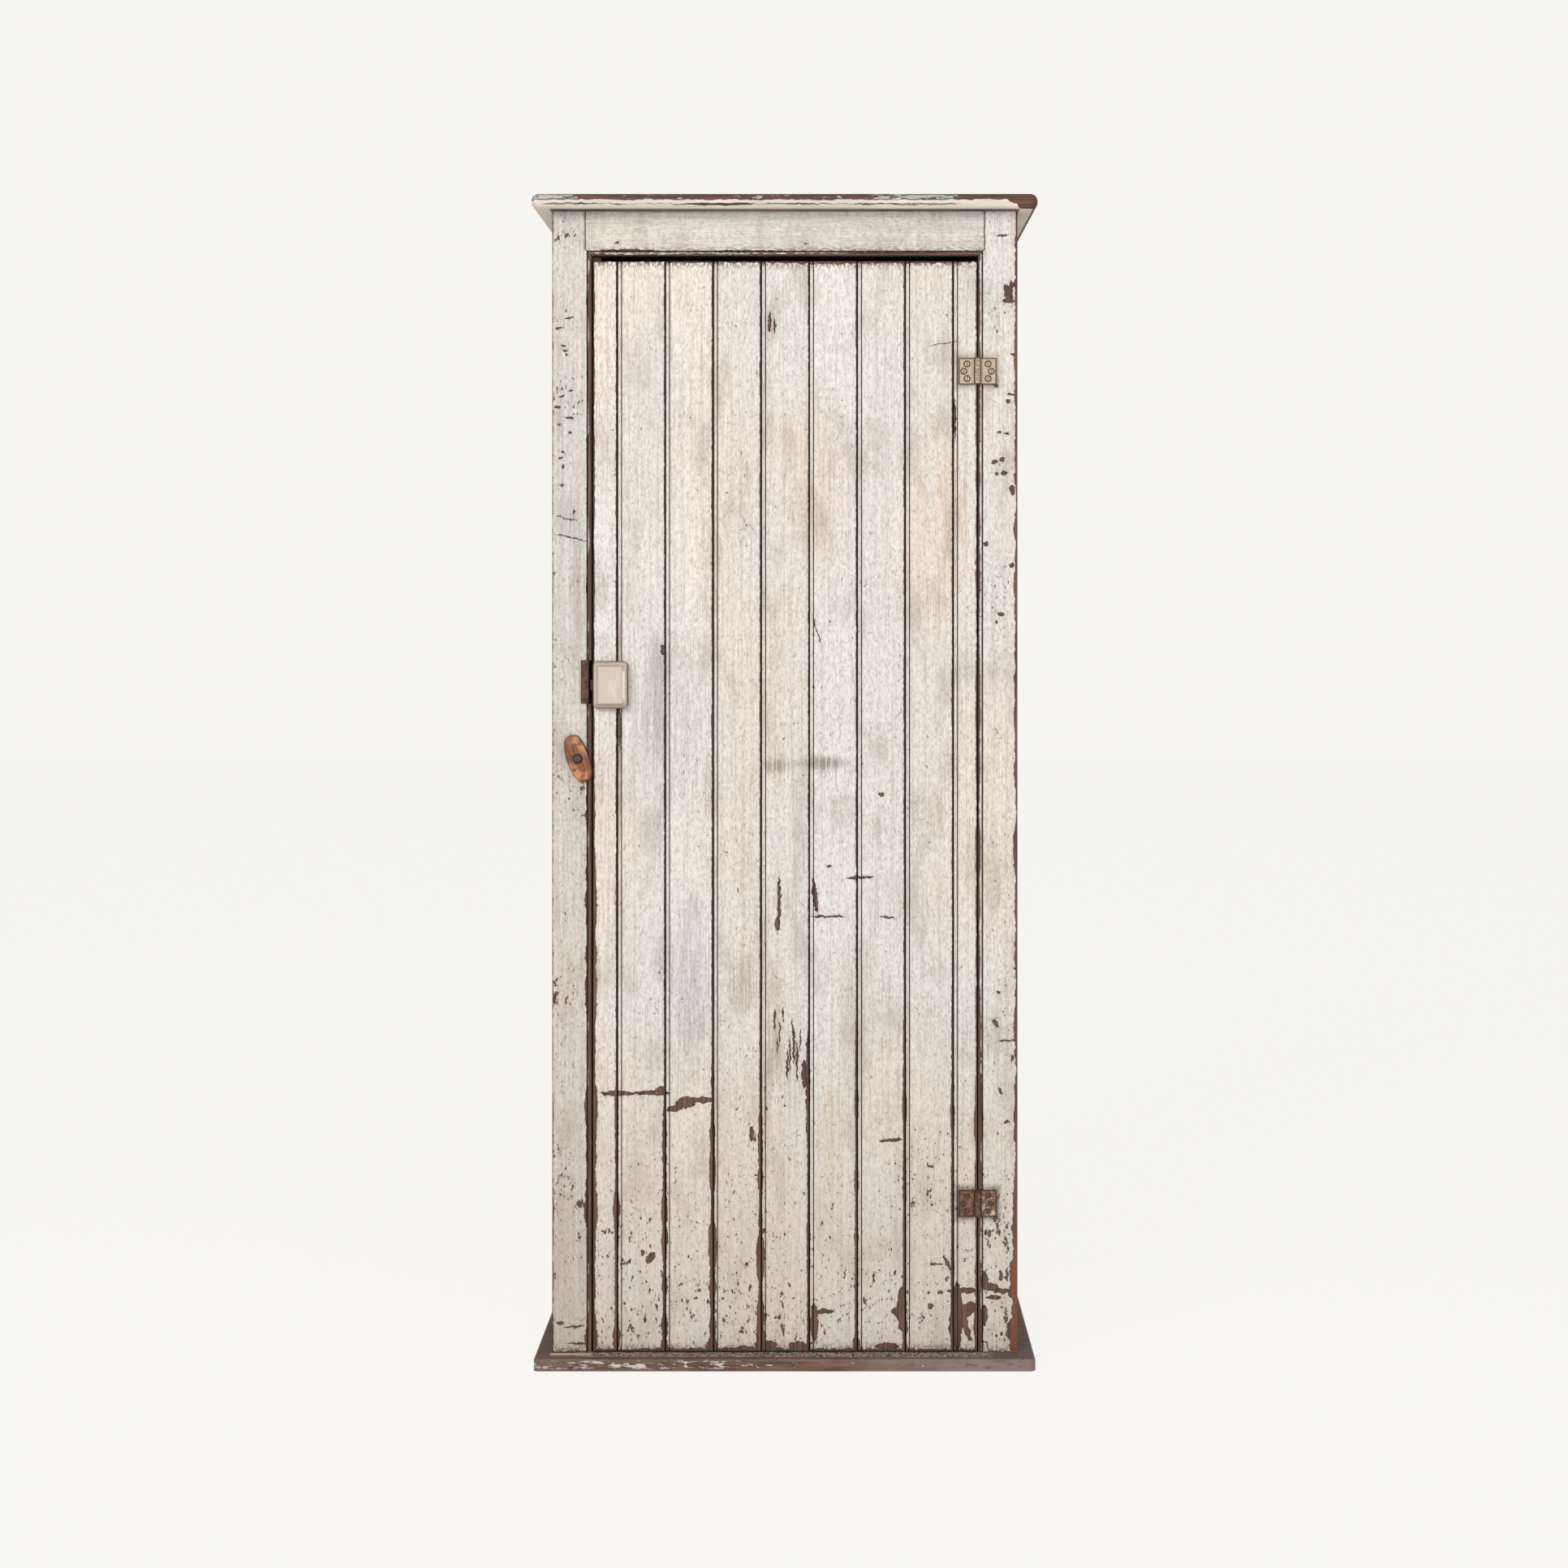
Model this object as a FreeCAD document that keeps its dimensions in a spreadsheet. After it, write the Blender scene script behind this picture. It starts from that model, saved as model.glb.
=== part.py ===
import FreeCAD, Part
import collections
import os
import types

import Sketcher

# Driving dimensions in millimetres. Heights are measured up from the floor.
DIMENSIONS = {
    "overall_height": 1829,
    "case_width": 728,
    "case_depth": 356,
    # top and base boards
    "top_thick": 24,
    "top_overhang": 30,
    "top_corner_radius": 13,
    "nose_radius": 11,
    "base_thick": 20,
    "base_side_overhang": 26,
    "base_front_overhang": 29,
    "base_corner_radius": 8,
    "base_edge_radius": 5,
    # face frame
    "stile_width": 61.5,
    "stile_thick": 20,
    "rail_height": 69,
    "bead_width": 6,
    "quirk_width": 2,
    "quirk_drop": 1,
    "mitre_reach": 10,
    "tenon_length": 30,
    "tenon_thick": 7,
    "tenon_shoulder": 12,
    "tenon_clearance": 0.2,
    # tongue-and-groove joints
    "tongue_length": 6,
    "tongue_thick": 5,
    "tongue_clearance": 0.25,
    "panel_joint_gap": 1,
    # door boards
    "door_gap_latch": 3,
    "door_gap_hinge": 2,
    "door_gap_top": 9,
    "door_gap_bottom": 2.5,
    "door_board_thick": 19.5,
    "door_edge_board_width": 37.15,
    "door_joint_gap": 2,
    "door_bead_width": 5.5,
    "door_quirk_width": 1.3,
    "door_quirk_drop": 0.5,
    # door ledges and their nails
    "ledge_height": 95,
    "ledge_thick": 19,
    "ledge_setback": 20,
    "ledge_chamfer": 6,
    "nail_side": 2.6,
    "nail_head_side": 5,
    "nail_head_thick": 1.5,
    "nail_bite": 14,
    "nail_offset": 18,
    "nail_spread": 52,
    "nail_clearance": 0.05,
    # sides, back and shelves
    "side_thick": 18,
    "back_thick": 14,
    "shelf_thick": 18,
    "shelf_front_clearance": 4,
    "shelf_end_clearance": 0.5,
    "cleat_width": 20,
    "cleat_height": 28,
    "cleat_setback": 18,
    "cleat_chamfer": 5,
    "stop_width": 26,
    "stop_thick": 16,
    "stop_reach": 12,
    # hinges
    "upper_hinge_drop": 172,
    "lower_hinge_rise": 230.9,
    "hinge_height": 41.5,
    "hinge_leaf_width": 29.5,
    "hinge_corner_radius": 1.5,
    "leaf_thick": 2.2,
    "knuckle_radius": 4.5,
    "knuckle_middle": 16.5,
    "knuckle_gap": 0.3,
    "knuckle_stand_off": 0.3,
    "pin_radius": 2.4,
    "pin_clearance": 0.08,
    "pin_cap_radius": 3.4,
    "pin_cap_thick": 1.2,
    "hinge_screw_near": 16.5,
    "hinge_screw_far": 21.5,
    "hinge_screw_spread": 11.5,
    # wood screws
    "screw_radius": 2,
    "screw_head_radius": 4.1,
    "screw_head_thick": 1.2,
    "screw_bite": 16,
    "screw_clearance": 0.08,
    # rim latch
    "latch_centre_height": 1064.6,
    "latch_width": 54.5,
    "latch_height": 74,
    "latch_depth": 16,
    "latch_corner_radius": 7.5,
    "latch_bevel": 7,
    "latch_wall": 3,
    "latch_plate_thick": 1.5,
    "bolt_height": 16,
    "bolt_thick": 7,
    "bolt_reach": 4,
    "bolt_length": 46,
    "bolt_bevel": 3,
    "bolt_clearance": 0.35,
    "spring_thick": 0.8,
    "spring_width": 5,
    "spring_span": 54,
    "spring_clearance": 0.2,
    # keeper plate
    "keeper_above_latch": 4.5,
    "keeper_offset": 4.3,
    "keeper_width": 12.2,
    "keeper_height": 67.7,
    "keeper_thick": 2,
    "keeper_notch_depth": 12,
    "keeper_screw_inset": 3.9,
    "keeper_screw_spread": 27,
    "keeper_screw_radius": 1.2,
    "keeper_screw_head_radius": 2.4,
    "keeper_screw_head_thick": 1,
    "keeper_screw_bite": 12,
    # turn button
    "button_below_latch": 115.1,
    "button_inset": 20.5,
    "button_length": 77,
    "button_width": 34,
    "button_end_width": 20,
    "button_thick": 12,
    "button_corner_radius": 4,
    "button_bevel": 2,
    "button_gap": 0.5,
    "button_bore_clearance": 0.1,
    "button_screw_radius": 2.6,
    "button_screw_bite": 16,
    "button_screw_head_radius": 5.6,
    "button_screw_head_thick": 2.6,
    "button_screw_slot_width": 1.5,
    "button_screw_slot_depth": 1.7,
    "washer_radius": 7.2,
    "washer_thick": 1,
}

SIDE_BOARDS = 3
BACK_BOARDS = 5
FULL_DOOR_BOARDS = 7  # between the narrow board at each edge
SHELVES = ("lower", "middle", "upper")
BUTTON_TILT = 19  # degrees that the button leans from upright
OVERRUN = 5  # how far a cut runs past the faces it opens
FULLEST_NOSE = 0.48  # largest nose radius, as a share of the top board's thickness
FULLEST_BEVEL = 0.94  # largest bevel of the latch case, as a share of its corner radius
CORNER_CUT = 1 - 0.5**0.5  # share of its radius that a round corner cuts off each way at its middle
TOLERANCE = 0.01

Via = collections.namedtuple("Via", "x y")  # a point that an arc passes through


class Size:
    # A number together with the sheet formula that gives it.
    def __init__(self, formula, number):
        self.formula = formula
        self.number = number

    def __add__(self, other):
        other = as_size(other)
        return Size(f"({self.formula} + {other.formula})", self.number + other.number)

    def __sub__(self, other):
        other = as_size(other)
        return Size(f"({self.formula} - {other.formula})", self.number - other.number)

    def __mul__(self, factor):
        return Size(f"({self.formula} * {factor})", self.number * factor)

    def __truediv__(self, factor):
        return Size(f"({self.formula} / {factor})", self.number / factor)

    def __neg__(self):
        return self * -1

    def __radd__(self, other):
        return as_size(other) + self

    def __rsub__(self, other):
        return as_size(other) - self

    __rmul__ = __mul__


def as_size(value):
    return value if isinstance(value, Size) else Size(str(value), value)


def smaller(first, second):
    return Size(f"min({first.formula}; {second.formula})", min(first.number, second.number))


doc = FreeCAD.newDocument("cupboard")
sheet = doc.addObject("Spreadsheet::Sheet", "Sizes")
for row, (name, value) in enumerate(DIMENSIONS.items(), 1):
    sheet.set(f"A{row}", name)
    sheet.set(f"B{row}", str(value))
    sheet.setAlias(f"B{row}", name)
doc.recompute()
d = types.SimpleNamespace(**{name: Size(f"Sizes.{name}", value) for name, value in DIMENSIONS.items()})

# Places worked out from the dimensions. The front faces -Y, and the door is hinged at +X.
face = (d.top_overhang - d.case_depth) / 2
back = face + d.case_depth
frame_back = face + d.stile_thick
half_case = d.case_width / 2
half_opening = half_case - d.stile_width
inner_half = half_case - d.side_thick
case_top = d.overall_height - d.top_thick
case_height = case_top - d.base_thick
opening_top = case_top - d.rail_height
rail_half = half_opening + d.mitre_reach
side_depth = back - d.back_thick - frame_back

door_left = d.door_gap_latch - half_opening
door_right = half_opening - d.door_gap_hinge
door_bottom = d.base_thick + d.door_gap_bottom
door_height = opening_top - d.door_gap_top - door_bottom
ledge_front = face + d.door_board_thick
ledge_left = door_left + d.ledge_setback
ledge_length = door_right - d.ledge_setback - ledge_left
lower_hinge_height = door_bottom + d.lower_hinge_rise
upper_hinge_height = door_bottom + door_height - d.upper_hinge_drop
hinge_spacing = upper_hinge_height - lower_hinge_height
ledge_centres = {
    "bottom": lower_hinge_height,
    "middle": lower_hinge_height + hinge_spacing / 2,
    "top": upper_hinge_height,
}
board_pitch = (door_right - door_left - 2 * d.door_edge_board_width) / FULL_DOOR_BOARDS
board_joints = [door_left + d.door_edge_board_width + board_pitch * number
                for number in range(FULL_DOOR_BOARDS + 1)]

hinge_x = (door_right + half_opening) / 2
knuckle_y = -d.knuckle_radius - d.knuckle_stand_off
knuckle_end = (d.hinge_height - d.knuckle_middle) / 2
hinge_heights = {"lower": lower_hinge_height, "upper": upper_hinge_height}
screw_spots = [
    (d.hinge_screw_near, d.hinge_screw_spread),
    (d.hinge_screw_far, as_size(0)),
    (d.hinge_screw_near, -d.hinge_screw_spread),
]

shelf_front = ledge_front + d.ledge_thick + d.shelf_front_clearance
shelf_depth = back - d.back_thick - shelf_front
shelf_spacing = (case_height + d.shelf_thick) / (len(SHELVES) + 1)

keeper_right = -half_opening - d.keeper_offset
keeper_height = d.latch_centre_height + d.keeper_above_latch
keeper_bottom = keeper_height - d.keeper_height / 2
keeper_screws = [(keeper_right - d.keeper_screw_inset, keeper_height + d.keeper_screw_spread * step)
                 for step in (-1, 0, 1)]
button_x = -half_opening - d.button_inset
button_height = d.latch_centre_height - d.button_below_latch
button_front = face - d.button_gap - d.button_thick
latch_bottom = d.latch_centre_height - d.latch_height / 2
latch_case_back = face - d.latch_plate_thick
bolt_room = d.bolt_thick + 2 * d.bolt_clearance
bolt_tail = door_left - d.bolt_reach + d.bolt_length
latch_room_right = door_left + d.latch_width - d.latch_wall

INTO_WOOD = FreeCAD.Rotation(FreeCAD.Vector(1, 0, 0), -90)  # turns an upright feature to point at +Y
bodies = []


def bind(item, prop, value):
    item.setExpression(prop, as_size(value).formula)


def place(item, x, y, z, turn=None):
    item.Placement = FreeCAD.Placement(FreeCAD.Vector(), turn or FreeCAD.Rotation())
    for axis, value in zip("xyz", (x, y, z)):
        bind(item, f"Placement.Base.{axis}", value)


def new_body(name):
    body = doc.addObject("PartDesign::Body", name)
    body.Label = name
    bodies.append(body)
    return body


def origin_part(body, role):
    return next(part for part in body.Origin.OriginFeatures if part.Role == role)


def tie(sketch, kind, geometry, end, value):
    value = as_size(value)
    index = sketch.addConstraint(Sketcher.Constraint(kind, -1, 1, geometry, end, value.number))
    sketch.setExpression(f"Constraints[{index}]", value.formula)


def tie_point(sketch, geometry, end, point):
    tie(sketch, "DistanceX", geometry, end, point[0])
    tie(sketch, "DistanceY", geometry, end, point[1])


def at(point):
    return FreeCAD.Vector(as_size(point[0]).number, as_size(point[1]).number, 0)


def add_edge(sketch, start, via, end):
    # Adds a line, or an arc through via. Gives its index and which of its ends is the start.
    if via is None:
        return sketch.addGeometry(Part.LineSegment(at(start), at(end)), False), 1, 2
    turns_left = (at(via) - at(start)).cross(at(end) - at(start)).z > 0
    ends = (start, end) if turns_left else (end, start)
    arc = sketch.addGeometry(Part.Arc(at(ends[0]), at(via), at(ends[1])), False)
    middle = sketch.addGeometry(Part.Point(at(via)), True)
    sketch.addConstraint(Sketcher.Constraint("PointOnObject", middle, 1, arc))
    tie_point(sketch, middle, 1, via)
    return (arc, 1, 2) if turns_left else (arc, 2, 1)


def add_loop(sketch, outline):
    # A closed outline: corners as pairs, with a Via between two corners that an arc joins.
    edges = []
    corner, via = outline[0], None
    for item in outline[1:] + outline[:1]:
        if isinstance(item, Via):
            via = item
            continue
        edges.append((add_edge(sketch, corner, via, item), corner))
        corner, via = item, None
    for (edge, start), (following, _) in zip(edges, edges[1:] + edges[:1]):
        sketch.addConstraint(Sketcher.Constraint("Coincident", edge[0], edge[2], following[0], following[1]))
        tie_point(sketch, edge[0], edge[1], start)


def add_circle(sketch, centre, radius):
    circle = Part.Circle(at(centre), FreeCAD.Vector(0, 0, 1), as_size(radius).number)
    index = sketch.addGeometry(circle, False)
    tie_point(sketch, index, 3, centre)
    rounding = sketch.addConstraint(Sketcher.Constraint("Radius", index, as_size(radius).number))
    sketch.setExpression(f"Constraints[{rounding}]", as_size(radius).formula)


def new_sketch(body, plane, name, lift=0):
    sketch = body.newObject("Sketcher::SketchObject", f"{body.Name}_{name}")
    sketch.AttachmentSupport = [(origin_part(body, f"{plane}_Plane"), "")]
    sketch.MapMode = "FlatFace"
    bind(sketch, "AttachmentOffset.Base.z", lift)
    return sketch


def pad(body, sketch, length, reverse=False):
    feature = body.newObject("PartDesign::Pad", f"{sketch.Name}_pad")
    feature.Profile = sketch
    feature.Reversed = reverse
    bind(feature, "Length", length)
    return feature


def cut_through(body, sketch):
    feature = body.newObject("PartDesign::Pocket", f"{sketch.Name}_cut")
    feature.Profile = sketch
    feature.Type = "ThroughAll"
    feature.Midplane = True
    return feature


def bored(body, plane, name, circles):
    sketch = new_sketch(body, plane, name)
    for centre, radius in circles:
        add_circle(sketch, centre, radius)
    return cut_through(body, sketch)


def primitive(body, kind, name, sizes, x, y, z, turn=None):
    feature = body.newObject(f"PartDesign::{kind}", f"{body.Name}_{name}")
    for prop, value in sizes.items():
        bind(feature, prop, value)
    place(feature, x, y, z, turn)
    return feature


def block(body, name, size, corner, cut=False):
    kind = "SubtractiveBox" if cut else "AdditiveBox"
    sizes = dict(zip(("Length", "Width", "Height"), size))
    return primitive(body, kind, name, sizes, *corner)


def screw_hole(body, name, x, y, z, radius, depth):
    # Goes in towards +Y from the plane at y. Six-sided, as the shanks are, to keep the mesh light.
    sizes = {"Circumradius": radius + d.screw_clearance, "Height": depth}
    primitive(body, "SubtractivePrism", name, sizes, x, y, z, INTO_WOOD)


def sunk_hole(body, name, x, z, radius, head, sink, plate):
    # A hole through a plate that stands on the plane at 0, with a recess for the head.
    recess = {"Radius": head + d.screw_clearance, "Height": sink}
    primitive(body, "SubtractiveCylinder", f"{name}_recess", recess, x, -plate, z, INTO_WOOD)
    screw_hole(body, name, x, -plate, z, radius, plate + OVERRUN)


def wood_screw(body, name, x, z, radius, head, sink, plate, bite):
    # A screw whose head is flush with the front of a plate on the face, and which bites into the wood.
    flat_head = {"Radius": head, "Height": sink}
    primitive(body, "AdditiveCylinder", f"{name}_head", flat_head, x, face - plate, z, INTO_WOOD)
    shank = {"Circumradius": radius, "Height": plate - sink + bite}
    primitive(body, "AdditivePrism", f"{name}_shank", shank, x, face - plate + sink, z, INTO_WOOD)


def run(body, name, axis, length, count, originals=()):
    pattern = body.newObject("PartDesign::LinearPattern", f"{body.Name}_{name}")
    if originals:
        pattern.Originals = list(originals)
    pattern.Direction = (origin_part(body, f"{axis}_Axis"), [""])
    pattern.Occurrences = count
    bind(pattern, "Length", length)
    return pattern


def repeat(body, name, axis, length, count, originals):
    body.Tip = run(body, name, axis, length, count, originals)


def repeat_both(body, name, across, up, originals):
    grid = body.newObject("PartDesign::MultiTransform", f"{body.Name}_{name}")
    grid.Originals = list(originals)
    grid.Transformations = [run(body, f"{name}_across", "X", *across), run(body, f"{name}_up", "Z", *up)]
    body.Tip = grid


def edges_where(feature, test):
    doc.recompute()
    return [f"Edge{n}" for n, edge in enumerate(feature.Shape.Edges, 1) if test(edge.BoundBox)]


def eased(body, kind, base, size, test):
    # A fillet or a chamfer on the edges that pass the test.
    feature = body.newObject(f"PartDesign::{kind}", f"{body.Name}_{kind.lower()}_{base.Name}")
    feature.Base = (base, edges_where(base, test))
    bind(feature, "Radius" if kind == "Fillet" else "Size", size)
    return feature


def is_near(first, second):
    return abs(first - as_size(second).number) < TOLERANCE


def runs_along(box, depth):
    # Whether an edge lies along the straight back of a board that is this deep.
    return is_near(box.YMin, depth) and box.YLength < TOLERANCE


def moulded(name, plane, outline, length, x, y, z, turn=None, reverse=False):
    # A straight length of one section.
    body = new_body(name)
    sketch = new_sketch(body, plane, "section")
    add_loop(sketch, outline)
    pad(body, sketch, length, reverse)
    place(body, x, y, z, turn)
    return body


def bead_outline(width, quirk, drop):
    # A bead and its quirk as (distance in from the edge, depth from the face).
    radius = width / 2
    deep = radius + drop
    return [(0, radius), Via(radius, 0), (width, radius), (width, deep), (width + quirk, deep),
            (width + quirk, 0)]


def shifted(outline, change):
    return [type(item)(*change(*item)) if isinstance(item, Via) else change(*item) for item in outline]


def board_outline(width, thick, gap, tongue, groove, bead=()):
    # Across a tongue-and-groove board. x runs from joint to joint, y from its face to its back.
    tongue_front = (thick - d.tongue_thick) / 2
    tongue_back = tongue_front + d.tongue_thick
    left = gap / 2 if tongue else as_size(0)
    right = width - gap / 2 if groove else width
    outline = shifted(bead, lambda u, v: (left + u, v)) if bead else [(left, 0)]
    outline.append((right, 0))
    if groove:
        end = width - d.tongue_length - d.tongue_clearance
        near, far = tongue_front - d.tongue_clearance, tongue_back + d.tongue_clearance
        outline += [(right, near), (end, near), (end, far), (right, far)]
    outline += [(right, thick), (left, thick)]
    if tongue:
        tip = -d.tongue_length
        outline += [(left, tongue_back), (tip, tongue_back), (tip, tongue_front), (left, tongue_front)]
    return outline


def round_front_slab(name, half_width, depth, thick, corner_radius, x, y, z):
    # A board whose two front corners are round in plan.
    body = new_body(name)
    corner = corner_radius * CORNER_CUT
    sketch = new_sketch(body, "XY", "plan")
    add_loop(sketch, [
        (-half_width, depth), (-half_width, corner_radius), Via(corner - half_width, corner),
        (corner_radius - half_width, 0), (half_width - corner_radius, 0),
        Via(half_width - corner, corner), (half_width, corner_radius), (half_width, depth)])
    slab = pad(body, sketch, thick)
    place(body, x, y, z)
    return body, slab


def make_top_and_base():
    depth = d.case_depth + d.top_overhang
    body, slab = round_front_slab("top_board", half_case + d.top_overhang, depth, d.top_thick,
                                  d.top_corner_radius, 0, face - d.top_overhang, case_top)
    nose = smaller(d.nose_radius, d.top_thick * FULLEST_NOSE)
    eased(body, "Fillet", slab, nose,
          lambda box: box.ZLength < TOLERANCE and not runs_along(box, depth))
    depth = d.case_depth + d.base_front_overhang
    body, slab = round_front_slab("base_board", half_case + d.base_side_overhang, depth, d.base_thick,
                                  d.base_corner_radius, 0, face - d.base_front_overhang, 0)
    eased(body, "Fillet", slab, d.base_edge_radius,
          lambda box: is_near(box.ZMin, d.base_thick) and not runs_along(box, depth))


def make_stile(name, side):
    bead = shifted(bead_outline(d.bead_width, d.quirk_width, d.quirk_drop),
                   lambda u, v: ((half_opening + u) * side, v))
    outline = bead + [(half_case * side, 0), (half_case * side, d.stile_thick),
                      (half_opening * side, d.stile_thick)]
    body = moulded(name, "XY", outline, case_height, 0, face, d.base_thick)
    seat = opening_top - d.base_thick
    cut = new_sketch(body, "XZ", "rail_seat")
    add_loop(cut, [((half_opening - OVERRUN) * side, seat - OVERRUN),
                   (rail_half * side, seat + d.mitre_reach),
                   (rail_half * side, case_height + OVERRUN),
                   ((half_opening - OVERRUN) * side, case_height + OVERRUN)])
    cut_through(body, cut)
    depth = d.tenon_length + d.tenon_clearance
    thick = d.tenon_thick + 2 * d.tenon_clearance
    bottom = seat + d.mitre_reach + d.tenon_shoulder - d.tenon_clearance
    height = case_height - d.tenon_shoulder + d.tenon_clearance - bottom
    start = rail_half if side > 0 else -rail_half - depth
    block(body, "mortise", (depth, thick, height), (start, (d.stile_thick - thick) / 2, bottom), cut=True)
    return body


def make_face_frame():
    left = make_stile("left_stile", -1)
    notch = (d.keeper_offset + OVERRUN, d.keeper_notch_depth + OVERRUN, d.keeper_height)
    block(left, "keeper_notch", notch, (keeper_right, -OVERRUN, keeper_bottom - d.base_thick), cut=True)
    for number, (x, z) in enumerate(keeper_screws, 1):
        screw_hole(left, f"keeper_hole_{number}", x, 0, z - d.base_thick, d.keeper_screw_radius,
                   d.keeper_screw_bite)
    screw_hole(left, "button_hole", button_x, 0, button_height - d.base_thick, d.button_screw_radius,
               d.button_screw_bite)

    right = make_stile("right_stile", 1)
    for hinge, height in hinge_heights.items():
        for number, (out, up) in enumerate(screw_spots, 1):
            screw_hole(right, f"{hinge}_hole_{number}", hinge_x + out, 0, height + up - d.base_thick,
                       d.screw_radius, d.screw_bite)

    bead = shifted(bead_outline(d.bead_width, d.quirk_width, d.quirk_drop), lambda u, v: (v, u))
    outline = bead + [(0, d.rail_height), (d.stile_thick, d.rail_height), (d.stile_thick, 0)]
    rail = moulded("top_rail", "YZ", outline, 2 * rail_half, -rail_half, face, opening_top)
    cut = new_sketch(rail, "XZ", "mitres")
    for side in (0, 1):
        end = 2 * rail_half * side
        inward = 1 - 2 * side
        add_loop(cut, [(end - OVERRUN * inward, -OVERRUN),
                       (end + (d.mitre_reach + OVERRUN) * inward, -OVERRUN),
                       (end - OVERRUN * inward, d.mitre_reach + OVERRUN)])
    cut_through(rail, cut)
    bottom = d.mitre_reach + d.tenon_shoulder
    size = (d.tenon_length, d.tenon_thick, d.rail_height - d.tenon_shoulder - bottom)
    for name, x in (("left", -d.tenon_length), ("right", 2 * rail_half)):
        block(rail, f"{name}_tenon", size, (x, (d.stile_thick - d.tenon_thick) / 2, bottom))


def make_panels():
    quarter = FreeCAD.Rotation(FreeCAD.Vector(0, 0, 1), 90)
    half = FreeCAD.Rotation(FreeCAD.Vector(0, 0, 1), 180)
    width = side_depth / SIDE_BOARDS
    for number in range(SIDE_BOARDS):
        outline = board_outline(width, d.side_thick, d.panel_joint_gap, number > 0, number < SIDE_BOARDS - 1)
        step = width * number
        moulded(f"right_side_board_{number + 1}", "XY", outline, case_height,
                half_case, frame_back + step, d.base_thick, quarter)
        moulded(f"left_side_board_{number + 1}", "XY", outline, case_height,
                -half_case, back - d.back_thick - step, d.base_thick, quarter.inverted())
    width = d.case_width / BACK_BOARDS
    for number in range(BACK_BOARDS):
        outline = board_outline(width, d.back_thick, d.panel_joint_gap, number > 0, number < BACK_BOARDS - 1)
        moulded(f"back_board_{number + 1}", "XY", outline, case_height,
                half_case - width * number, back, d.base_thick, half)


def make_shelves():
    length = 2 * (inner_half - d.shelf_end_clearance)
    section = [(0, 0), (shelf_depth, 0), (shelf_depth, d.shelf_thick), (0, d.shelf_thick)]
    cleat_depth = shelf_depth - d.cleat_setback
    for number, name in enumerate(SHELVES, 1):
        underside = d.base_thick + shelf_spacing * number - d.shelf_thick
        moulded(f"shelf_{name}", "YZ", section, length, -length / 2, shelf_front, underside)
        for side_name, side in (("left", -1), ("right", 1)):
            cleat = [(0, 0), ((d.cleat_chamfer - d.cleat_width) * side, 0),
                     (-d.cleat_width * side, d.cleat_chamfer),
                     (-d.cleat_width * side, d.cleat_height), (0, d.cleat_height)]
            moulded(f"{side_name}_cleat_{name}", "XZ", cleat, cleat_depth, inner_half * side,
                    shelf_front + d.cleat_setback, underside - d.cleat_height, reverse=True)


def make_door_stop():
    section = [(0, 0), (d.stop_width, 0), (d.stop_width, d.stop_thick), (0, d.stop_thick)]
    moulded("door_stop", "XY", section, opening_top - d.base_thick,
            d.stop_reach - half_opening - d.stop_width, frame_back, d.base_thick)


def nail_hole(body, name, x, y, z, depth):
    side = d.nail_side + 2 * d.nail_clearance
    return block(body, name, (side, depth, side), (x - side / 2, y, z - side / 2), cut=True)


def make_door_boards():
    lines = [door_left] + board_joints + [door_right]
    bead = bead_outline(d.door_bead_width, d.door_quirk_width, d.door_quirk_drop)
    bite_start = d.door_board_thick - d.nail_bite
    last = FULL_DOOR_BOARDS + 2
    for number, (left, right) in enumerate(zip(lines, lines[1:]), 1):
        outline = board_outline(right - left, d.door_board_thick, d.door_joint_gap, number > 1,
                                number < last, bead if number > 1 else ())
        board = moulded(f"door_board_{number}", "XY", outline, door_height, left, face, door_bottom)
        middle = (right - left) / 2
        if number in (1, last):
            spots = [(middle, d.lower_hinge_rise + d.nail_spread / 2)]
        else:
            spots = [(middle - d.nail_offset, d.lower_hinge_rise + d.nail_spread / 2),
                     (middle + d.nail_offset, d.lower_hinge_rise - d.nail_spread / 2)]
        holes = [nail_hole(board, f"nail_hole_{count}", x, bite_start, z, d.nail_bite + OVERRUN)
                 for count, (x, z) in enumerate(spots)]
        repeat(board, "nail_holes", "Z", hinge_spacing, len(ledge_centres), holes)
    for hinge, height in hinge_heights.items():
        for number, (out, up) in enumerate(screw_spots, 1):
            screw_hole(board, f"{hinge}_hole_{number}", hinge_x - out - left, 0,
                       height + up - door_bottom, d.screw_radius, d.screw_bite)


def make_ledges():
    thick, height, chamfer = d.ledge_thick, d.ledge_height, d.ledge_chamfer
    section = [(0, 0), (thick - chamfer, 0), (thick, chamfer), (thick, height - chamfer),
               (thick - chamfer, height), (0, height)]
    first = board_joints[0] + board_pitch / 2 - ledge_left
    ends = [(door_left + board_joints[0]) / 2 - ledge_left, (door_right + board_joints[-1]) / 2 - ledge_left]
    for name, centre in ledge_centres.items():
        ledge = moulded(f"door_ledge_{name}", "YZ", section, ledge_length, ledge_left, ledge_front,
                        centre - height / 2)
        through = thick + 2 * OVERRUN
        pair = [nail_hole(ledge, f"nail_hole_{side}", first + d.nail_offset * side, -OVERRUN,
                          height / 2 - d.nail_spread * side / 2, through) for side in (-1, 1)]
        repeat(ledge, "nail_holes", "X", board_pitch * (FULL_DOOR_BOARDS - 1), FULL_DOOR_BOARDS, pair)
        for side, x in zip(("left", "right"), ends):
            nail_hole(ledge, f"{side}_nail_hole", x, -OVERRUN, (height + d.nail_spread) / 2, through)


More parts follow.
